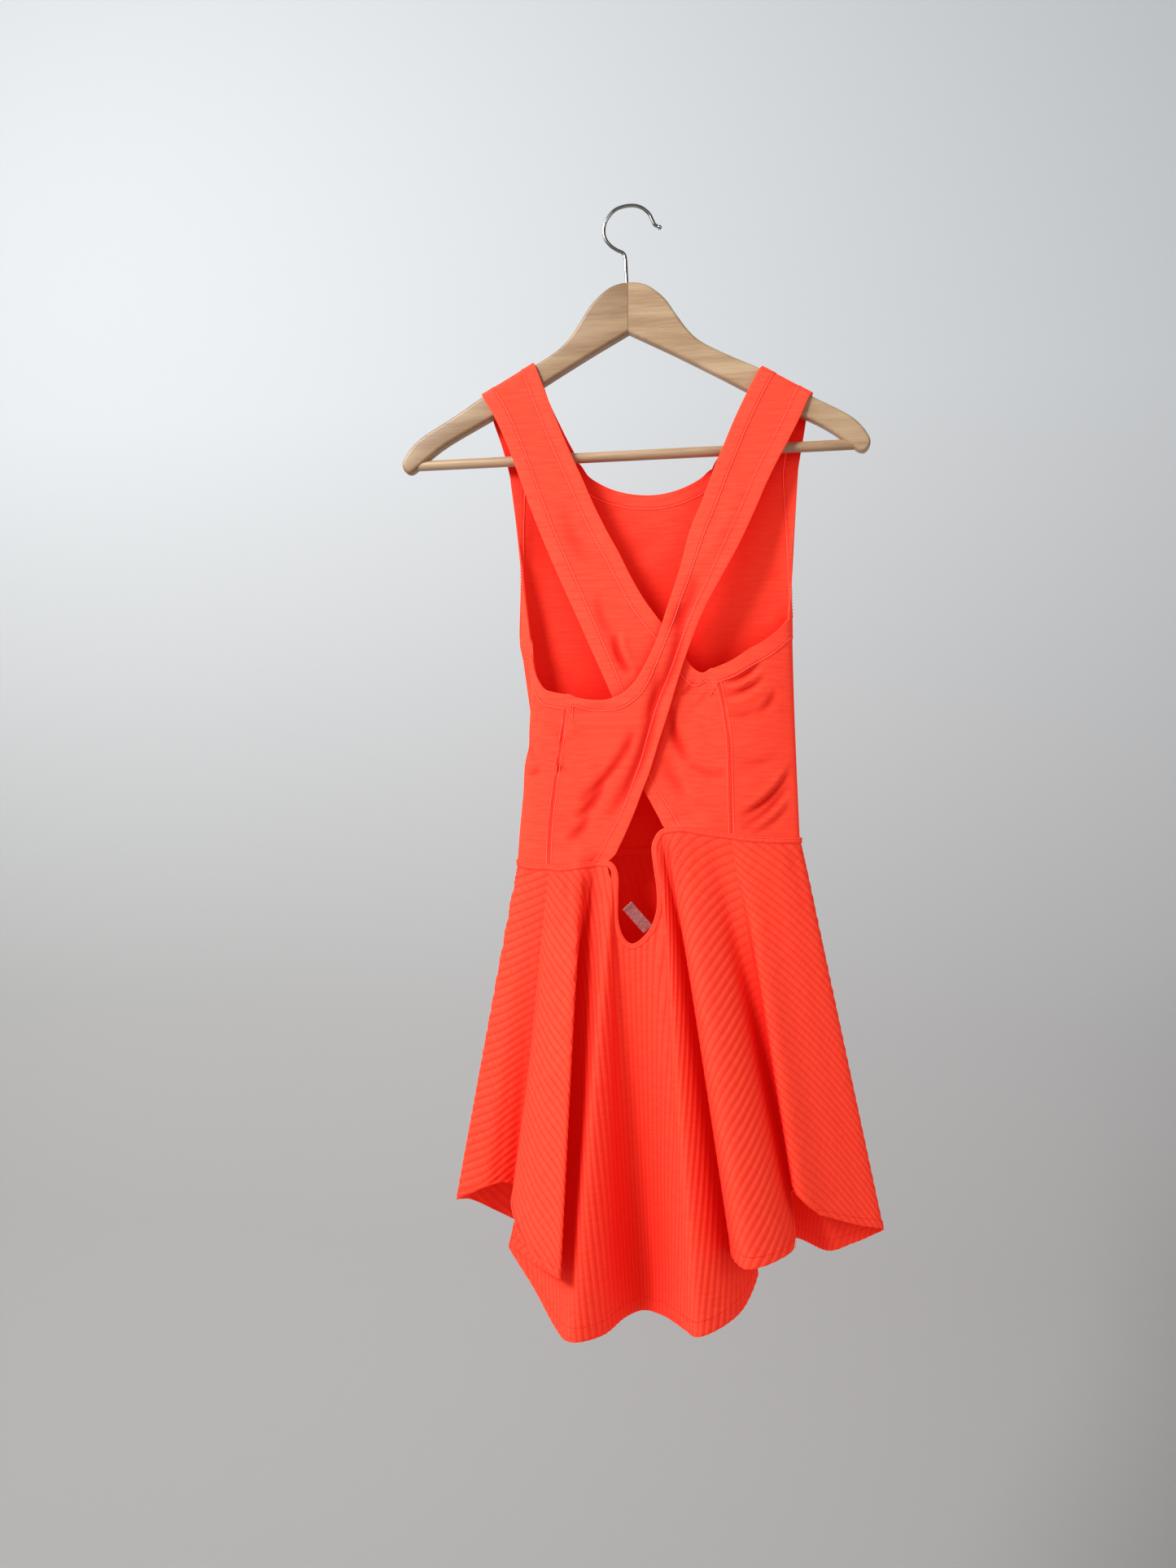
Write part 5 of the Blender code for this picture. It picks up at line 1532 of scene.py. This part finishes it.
right_band = {(armhole_row - 1, column) for column in range(first + 1)}
right_band |= {(row, first) for row in range(armhole_row, top)}
left_band = {(armhole_row - 1, column) for column in range(last - 1, count - 1)}
left_band |= {(row, last - 1) for row in range(armhole_row, top)}
neck_band = {(neck_row - 1, column) for column in range(NECK_COLUMN - 1, neck_left + 1)}
neck_band |= {(row, NECK_COLUMN - 1) for row in range(neck_row, top)}
neck_band |= {(row, neck_left) for row in range(neck_row, top)}
front_pieces = []
for node, chosen_cells, wall, finish, slot in (
    ("bodice_front", cells - right_band - left_band - neck_band, WALL, jersey, "coral_jersey"),
    ("front_right_armhole_band", right_band, BAND_WALL, band_jersey, "coral_band_jersey"),
    ("front_left_armhole_band", left_band, BAND_WALL, band_jersey, "coral_band_jersey"),
    ("front_neck_band", neck_band, BAND_WALL, band_jersey, "coral_band_jersey"),
):
    front_pieces.append(
        cloth_from_cells(
            f"{node}_cloth", points, normals, front_lift, row_at, column_at,
            chosen_cells, wall, finish, node,
        )
    )
front_places = (points, normals, row_at, column_at)
print("front pieces:", [piece.name for piece in front_pieces])

# %% [markdown]
# ## The waist binding
# A narrow folded strip covers the waist seam all round and dips into the keyhole's U. It is a flat
# grid rolled round the seam line into a soft rectangle, and its two sides are merged to close it.

# %% Rolling a strip round the seam line

STRIP_SIDES = 16
# Below 1 this power squares the strip's round section.
STRIP_SQUARENESS = 0.55
BINDING_STEP = 0.125


def rolled_strip(name, places, outward, rise, half_width, thickness):
    """A closed strip with a rounded section along a ring of places."""
    around = np.linspace(0.0, 2 * math.pi, STRIP_SIDES + 1)
    a = np.sign(np.cos(around)) * np.abs(np.cos(around)) ** STRIP_SQUARENESS * half_width
    b = np.sign(np.sin(around)) * np.abs(np.sin(around)) ** STRIP_SQUARENESS * thickness / 2
    places, outward, rise = (np.vstack([ring, ring[:1]]) for ring in (places, outward, rise))
    points = places[:, None] + rise[:, None] * a[None, :, None] + outward[:, None] * b[None, :, None]
    mesh = mapped_grid(name, points, None, None, unit(points - places[:, None]))
    clean_mesh(mesh)
    return mesh


waist_k = np.arange(0.0, RING_COUNT, BINDING_STEP)
waist_places, waist_out, waist_up = waist_frame(waist_k)
binding_mesh = rolled_strip(
    "waist_binding_cloth", waist_places, waist_out, waist_up, BINDING_HALF_WIDTH, BINDING_THICKNESS
)
binding = add_piece(
    "waist_binding_cloth", binding_mesh, band_jersey, ["waist_binding"]
)
print("binding length:", round(float(np.linalg.norm(np.diff(waist_places, axis=0), axis=1).sum())), "mm")

# %% [markdown]
# ## Stitching
# Each band has a raised seam edge and a row of needle stitches beside it. Two rows hold the
# binding, one row holds each hem, and a wider flatlock seam with threads across it joins the back
# pieces to the front. One low stitch is modelled once, and joined copies of it follow each seam
# line, so the thread casts its own small shadows. Laying out each stitch as an object would give
# thousands of pieces for one seam.

# %% One stitch, copied along a line

STITCH_PITCH = 3.0
STITCH_LENGTH = 2.3
STITCH_WIDTH = 0.62
STITCH_HEIGHT = 0.5
# Pitch, length, width and height of the stitches in a raised seam edge and across a flatlock seam.
RIDGE_PITCH = 1.3
RIDGE_SIZE = (1.9, 0.9, 0.8)
RUNG_PITCH = 1.5
RUNG_SECTION = (0.55, 0.45)
RUNG_SLANT = 0.25
AHEAD = 0.3
stitch_shape = bmesh.new()
bmesh.ops.create_icosphere(stitch_shape, subdivisions=1, radius=0.5)
stitch_mesh = bpy.data.meshes.new("one_stitch")
stitch_shape.to_mesh(stitch_mesh)
stitch_shape.free()


def resampled(line, normals, pitch):
    """Places at an even pitch along a line, with the ways along it and out of the cloth."""
    steps = np.linalg.norm(np.diff(line, axis=0), axis=1)
    along = np.concatenate([[0.0], np.cumsum(steps)])
    targets = np.arange(pitch / 2, along[-1], pitch)

    def at(values, where):
        return np.stack([np.interp(where, along, values[:, i]) for i in range(3)], axis=1)

    ways = unit(at(line, targets + AHEAD) - at(line, targets - AHEAD))
    return at(line, targets), ways, unit(at(normals, targets))


def stitch_copies(places, alongs, outs, length, width, height):
    """Corner places of stitch copies, and their faces, for one joined mesh."""
    corners = np.array([vert.co for vert in stitch_mesh.vertices])
    faces = np.array([face.vertices for face in stitch_mesh.polygons])
    across = unit(np.cross(outs, alongs))
    shaped = (
        places[:, None]
        + alongs[:, None] * corners[None, :, 0:1] * length
        + across[:, None] * corners[None, :, 1:2] * width
        + outs[:, None] * corners[None, :, 2:3] * height
    )
    numbered = faces[None] + np.arange(len(places))[:, None, None] * len(corners)
    return shaped.reshape(-1, 3), numbered.reshape(-1, 3)


def joined_stitches(name, groups, finish):
    """All stitches of one seam family as one piece."""
    corners, faces, start = [], [], 0
    for some_corners, some_faces in groups:
        corners.append(some_corners)
        faces.append(some_faces + start)
        start += len(some_corners)
    mesh = bpy.data.meshes.new(name)
    mesh.from_pydata((np.vstack(corners) * MM).tolist(), [], np.vstack(faces).tolist())
    mesh.shade_smooth()
    return add_piece(name, mesh, finish)


def running(line, normals, lift, pitch=STITCH_PITCH, length=STITCH_LENGTH):
    """A row of single stitches, end to end."""
    places, alongs, outs = resampled(line, normals, pitch)
    return stitch_copies(places + outs * lift, alongs, outs, length, STITCH_WIDTH, STITCH_HEIGHT)


def ridge(line, normals, lift):
    """A raised seam edge: stitches so close that they make one knobbly cord."""
    places, alongs, outs = resampled(line, normals, RIDGE_PITCH)
    return stitch_copies(places + outs * lift, alongs, outs, *RIDGE_SIZE)


def rung(line, normals, lift, width):
    """Threads that lie across a flatlock seam."""
    places, alongs, outs = resampled(line, normals, RUNG_PITCH)
    slant = unit(np.cross(outs, alongs) + RUNG_SLANT * alongs)
    return stitch_copies(places + outs * lift, slant, outs, width, *RUNG_SECTION)


# %% [markdown]
# A band is sewn down beside its inner edge, so each seam line is read from the same grid as the
# cloth, moved across by a millimetre or two. It shows on both faces of the cloth.

# %% Stitch rows on the bands

# How far from the seam's own column or row the raised edge and the needle row lie, in mm.
SEAM_RIDGE = 0.5
NEEDLE_ROW = 2.4
NEEDLE_LIFT = 0.05
BAND_LIFT = BAND_WALL / 2


def column_line(points, normals, column_at, coarse_column, offset_mm, rows):
    """A line beside a coarse column, moved across by millimetres, over some fine rows."""
    here = int(np.searchsorted(column_at, coarse_column - TINY))
    step = 1 if offset_mm > 0 else -1
    away = points[rows, here + step] - points[rows, here]
    move = unit(away) * abs(offset_mm)
    return points[rows, here] + move, normals[rows, here]


def row_line(points, normals, row_at, coarse_row, offset_mm, cols):
    """The same beside a coarse row, over some fine columns."""
    here = int(np.searchsorted(row_at, coarse_row - TINY))
    step = 1 if offset_mm > 0 else -1
    away = points[here + step, cols] - points[here, cols]
    return points[here, cols] + unit(away) * abs(offset_mm), normals[here, cols]


def fine_span(places, low, high):
    """The fine rows or columns between two coarse ones."""
    start = int(np.searchsorted(places, low - TINY))
    return slice(start, int(np.searchsorted(places, high - TINY)) + 1)


# Each seam is a line maker and the way to its band: the offset's sign.
band_seams = []
for side in ("left", "right"):
    points, normals, row_at, column_at, last_arm = back_places[side]
    grid = (points, normals, column_at)
    band_seams.append((column_line, grid, 1.0, -1.0, fine_span(row_at, 0.0, last_arm)))
    band_seams.append((column_line, grid, column_at[-1] - 1.0, 1.0, slice(0, len(row_at))))
points, normals, row_at, column_at = front_places
by_column = (points, normals, column_at)
by_row = (points, normals, row_at)
top_rows = fine_span(row_at, armhole_row, top)
neck_rows = fine_span(row_at, neck_row, top)
band_seams.append((column_line, by_column, first + 1, -1.0, top_rows))
band_seams.append((column_line, by_column, last - 1, 1.0, top_rows))
band_seams.append((column_line, by_column, NECK_COLUMN - 1, 1.0, neck_rows))
band_seams.append((column_line, by_column, neck_left + 1, -1.0, neck_rows))
scoop = fine_span(column_at, NECK_COLUMN, neck_left)
band_seams.append((row_line, by_row, neck_row - 1, 1.0, scoop))
band_seams.append((row_line, by_row, armhole_row - 1, 1.0, fine_span(column_at, 0, first + 1)))
band_seams.append((row_line, by_row, armhole_row - 1, 1.0, fine_span(column_at, last - 1, count - 1)))
ridges, rows_of_stitches = [], []
for make_line, grid, place, to_band, span in band_seams:
    for face in (1.0, -1.0):
        line, outs = make_line(*grid, place, to_band * SEAM_RIDGE, span)
        ridges.append(ridge(line, outs * face, BAND_LIFT))
        line, outs = make_line(*grid, place, to_band * NEEDLE_ROW, span)
        rows_of_stitches.append(running(line, outs * face, BAND_LIFT + NEEDLE_LIFT))
band_ridges = joined_stitches("band_seam_edges", ridges, thread)
band_stitches = joined_stitches("band_needle_rows", rows_of_stitches, shaded_thread)

# %% [markdown]
# The narrow binding is held by two close rows of needle stitches, and each turned-up hem by one row,
# which shows on both faces.

# %% Stitch rows on the binding and the hems

closed_line = np.vstack([waist_places, waist_places[:1]])
closed_up = np.vstack([waist_up, waist_up[:1]])
closed_out = np.vstack([waist_out, waist_out[:1]])
BINDING_ROW = 1.5
BINDING_PITCH = 2.3
BINDING_STITCH = 1.7
HEM_STITCH_LIFT = 0.1
binding_rows = [
    running(
        closed_line + move * closed_up, closed_out, BINDING_THICKNESS / 2, BINDING_PITCH, BINDING_STITCH
    )
    for move in (-BINDING_ROW, BINDING_ROW)
]
binding_stitches = joined_stitches("binding_needle_rows", binding_rows, shaded_thread)
hem_rows = []
for line, outs in ((back_hem, back_hem_out), (front_hem, front_hem_out)):
    hem_rows.append(running(line, outs, HEM_STITCH_LIFT))
    hem_rows.append(running(line, -outs, SKIRT_WALL + HEM_STITCH_LIFT))
hem_stitches = joined_stitches("hem_needle_row", hem_rows, shaded_thread)

# %% [markdown]
# The side seams are flatlocked: the two edges butt, and threads cross between two raised edges. The
# skirt's own side seams show one raised edge with a row of stitches beside it.

# %% Flatlock seams at the sides of the back and down the skirt's sides

FLATLOCK_WIDTH = 4.6
FLATLOCK_THREAD_SHARE = 0.7
FLATLOCK_LIFT = 0.1
SKIRT_STITCH_LIFT = 0.3
SKIRT_SEAM_WIDTH = 3.0
edges, rungs = [], []
for side in ("left", "right"):
    points, normals, row_at, column_at, last_arm = back_places[side]
    start = int(np.searchsorted(row_at, last_arm - TINY))
    line, outs = points[start:, 0], normals[start:, 0]
    across = unit(np.cross(outs, np.gradient(line, axis=0)))
    rungs.append(rung(line, outs, WALL / 2 + FLATLOCK_LIFT, FLATLOCK_WIDTH * FLATLOCK_THREAD_SHARE))
    for move in (-FLATLOCK_WIDTH / 2, FLATLOCK_WIDTH / 2):
        edges.append(ridge(line + across * move, outs, WALL / 2 + FLATLOCK_LIFT))
for end in (0, -1):
    line, outs = back_shell[1:, end], back_shell_out[1:, end]
    across = unit(np.cross(outs, np.gradient(line, axis=0)))
    edges.append(ridge(line, outs, SKIRT_WALL / 2))
    beside = line + across * SKIRT_SEAM_WIDTH / 2
    rungs.append(running(beside, outs, SKIRT_WALL / 2 + SKIRT_STITCH_LIFT))
flatlock_edges = joined_stitches("side_seam_edges", edges, thread)
flatlock_rungs = joined_stitches("side_seam_threads", rungs, shaded_thread)
stitching = (band_ridges, band_stitches, binding_stitches, hem_stitches, flatlock_edges, flatlock_rungs)
print("stitch faces:", {piece.name: len(piece.data.polygons) for piece in stitching})

# %% [markdown]
# ## The clear tab
# Inside the keyhole's lower end hangs a small bare tab of clear film, a little curled. It is thin,
# so a low alpha shows the cloth behind it. A clear coat with a fine crinkle gives its soft gloss.
# Transmission would need more bounces of light and show no difference at this size.

# %% The tab of clear film

TAB_LENGTH = 28.0
TAB_WIDTH = 11.0
TAB_CENTRE = (11.0, -17.4, -661.0)
TAB_TURN = math.radians(48.0)
# The upper end is rolled over on itself, and the layers make it whiter there.
TAB_ROLL = 5.0
ROLL_RADIUS = 1.1
ROLL_OPENING = 0.1
TAB_CURL = 0.9
TAB_RIPPLE = 0.25
TAB_WALL = 0.3
TAB_EDGE_ROUND = 0.08
TAB_GRID = (45, 11)
# Waves a metre, along and across the film.
FILM_CRINKLE = (260.0, 420.0, 1.0)
film, film_shader = new_material(
    "clear_pvc_film", "#F2D2CC", {"Roughness": 0.12, "IOR": 1.5, "Alpha": 0.3, "Coat Weight": 0.6}
)
film_cut = add_node(film, "ShaderNodeUVMap", uv_map="cut").outputs["UV"]
crinkle = add_noise(film, film_cut, FILM_CRINKLE)
crinkled = add_bump(film, crinkle, 0.7, 0.5)
film.node_tree.links.new(crinkled, film_shader.inputs["Normal"])
along = np.linspace(0.0, TAB_LENGTH + TAB_ROLL, TAB_GRID[0])
across = np.linspace(-0.5, 0.5, TAB_GRID[1])
tab_points = np.empty((len(across), len(along), 3))
for i, b in enumerate(across):
    for j, run in enumerate(along):
        rolled = max(0.0, TAB_ROLL - run) / ROLL_RADIUS
        from_middle = max(0.0, run - TAB_ROLL) - TAB_LENGTH / 2 - ROLL_RADIUS * math.sin(rolled)
        a = from_middle / TAB_LENGTH
        x = from_middle * math.cos(TAB_TURN) + b * TAB_WIDTH * math.sin(TAB_TURN)
        z = -from_middle * math.sin(TAB_TURN) + b * TAB_WIDTH * math.cos(TAB_TURN)
        curl = TAB_CURL * (math.cos(math.pi * a) - 0.5)
        curl += TAB_RIPPLE * math.sin(9.0 * a) * math.cos(5.0 * b)
        curl += ROLL_RADIUS * (1.0 - math.cos(rolled)) + ROLL_OPENING * rolled
        tab_points[i, j] = (TAB_CENTRE[0] + x, TAB_CENTRE[1] - curl, TAB_CENTRE[2] + z)
tab_mesh = mapped_grid("clear_tab_film", tab_points)
tab = add_piece("clear_tab_film", tab_mesh, film, ["clear_tab"])
give_wall(tab, TAB_WALL, TAB_EDGE_ROUND)
print("tab:", TAB_LENGTH, "by", TAB_WIDTH, "mm")

# %% [markdown]
# ## What each piece of cloth was cut from
# Each panel's sheet area and the size of its flat cut are printed.

# %% The panels' areas and cuts


def shown_area(piece):
    """The area of a piece's sheet in square metres, before it gets its wall."""
    return sum(face.area for face in piece.data.polygons)


def cut_size(piece):
    """Width and length of a piece's flat cut, from its UV map in metres."""
    corners = np.empty(len(piece.data.loops) * 2)
    piece.data.uv_layers["cut"].uv.foreach_get("vector", corners)
    return [round(float(v), 3) for v in np.ptp(corners.reshape(-1, 2), axis=0)]


back_left, back_left_arm, back_left_key = back_pieces["left"]
back_right, back_right_arm, back_right_key = back_pieces["right"]
bodice_front = front_pieces[0]
for piece in (bodice_front, back_left, back_right, skirt_back, skirt_front):
    print(piece.name, "area", round(shown_area(piece), 4), "m2, cut", cut_size(piece))

# %% [markdown]
# ## Studio and camera
# The dress hangs in front of a pale sweep of paper. The camera stands as far off as the photograph's
# did, a little to the right of the middle and level with the waist.

# %% Paper sweep

paper, paper_shader = new_material("pale_paper_sweep", "#DCE0E2", {"Roughness": 0.95})
# Painted shade: the paper is a little greyer towards the floor, for the light falling off lower down.
PAPER_SHADE_TONES = ((0.0, "#C2C0BE"), (1.0, "#E4E8EA"))
PAPER_SPAN = (-1.6, 0.4)
paper_place = add_node(paper, "ShaderNodeTexCoord").outputs["Object"]
paper_parted = add_node(paper, "ShaderNodeSeparateXYZ", {"Vector": paper_place})
paper_height = add_range(paper, paper_parted.outputs["Z"], *PAPER_SPAN)
paper_painted_shade = add_ramp(paper, paper_height, *PAPER_SHADE_TONES)
paper.node_tree.links.new(paper_painted_shade, paper_shader.inputs["Base Color"])
SWEEP_WALL_Y = 1700.0
SWEEP_FLOOR_Z = -2000.0
SWEEP_RADIUS = 900.0
SWEEP_STEPS = 17
SWEEP_FRONT_Y = -4200.0
SWEEP_TOP_Z = 3200.0
SWEEP_ACROSS = (-6000.0, 0.0, 6000.0)
profile = [(SWEEP_FRONT_Y, SWEEP_FLOOR_Z)]
for angle in np.linspace(-90.0, 0.0, SWEEP_STEPS):
    turn = math.radians(angle)
    profile.append(
        (
            SWEEP_WALL_Y - SWEEP_RADIUS + SWEEP_RADIUS * math.cos(turn),
            SWEEP_FLOOR_Z + SWEEP_RADIUS + SWEEP_RADIUS * math.sin(turn),
        )
    )
profile.append((SWEEP_WALL_Y, SWEEP_TOP_Z))
sweep_points = np.array([[(x, y, z) for x in SWEEP_ACROSS] for y, z in reversed(profile)])
sweep_mesh = mapped_grid("paper_sweep", sweep_points)
sweep = bpy.data.objects.new("paper_sweep", sweep_mesh)
sweep_mesh.materials.append(paper)
bpy.context.scene.collection.objects.link(sweep)

# %% [markdown]
# The photograph has one large window to the left, above the camera, and a pale room that fills the
# shadows. A second disk from the right does the room's part, and a third lights only the paper.

# %% Lights

# Each light's place and target in metres, its size across, its power in watts and its colour.
LIGHTS = (
    ("window_light", (-1.75, -2.0, 1.25), (0.0, 0.0, -0.55), 1.1, 96.0, "#FFFFFF"),
    ("room_light", (1.7, -1.6, -0.2), (0.0, 0.0, -0.6), 1.6, 13.0, "#F6F8FF"),
    ("wall_light", (-2.6, -0.9, 1.3), (0.0, 1.7, -0.1), 2.6, 44.0, "#FFFFFF"),
)
ROOM_COLOUR = "#EDF0F2"
ROOM_STRENGTH = 0.16


def area_light(name, place, target, size, power, tint):
    """A disk of light that faces its target."""
    lamp = bpy.data.lights.new(name, "AREA")
    lamp.shape = "DISK"
    lamp.size = size
    lamp.energy = power
    lamp.color = linear(tint)[:3]
    holder = bpy.data.objects.new(name, lamp)
    holder.location = place
    holder.rotation_euler = (Vector(target) - Vector(place)).to_track_quat("-Z", "Y").to_euler()
    bpy.context.scene.collection.objects.link(holder)


for light in LIGHTS:
    area_light(*light)
world = bpy.data.worlds.new("pale_room")
world.use_nodes = True
room = world.node_tree.nodes["Background"]
room.inputs["Color"].default_value = linear(ROOM_COLOUR)
room.inputs["Strength"].default_value = ROOM_STRENGTH
bpy.context.scene.world = world
bpy.context.scene.view_settings.view_transform = "Standard"

# %% [markdown]
# The camera was fitted to the hanger's outline and bar in the photograph: a wide lens about 1.1 m
# away, level, and turned some ten degrees to the left.

# %% Camera

CAMERA_PLACE = (0.1601, -1.0891, -0.5383)
CAMERA_TURN = 0.1805
CAMERA_LENS = 27.05
CAMERA_FILM = 36.0
lens = bpy.data.cameras.new("camera")
lens.lens = CAMERA_LENS
lens.sensor_width = CAMERA_FILM
camera = bpy.data.objects.new("camera", lens)
camera.location = CAMERA_PLACE
camera.rotation_euler = (math.radians(90.0), 0.0, CAMERA_TURN)
bpy.context.scene.collection.objects.link(camera)
bpy.context.scene.camera = camera
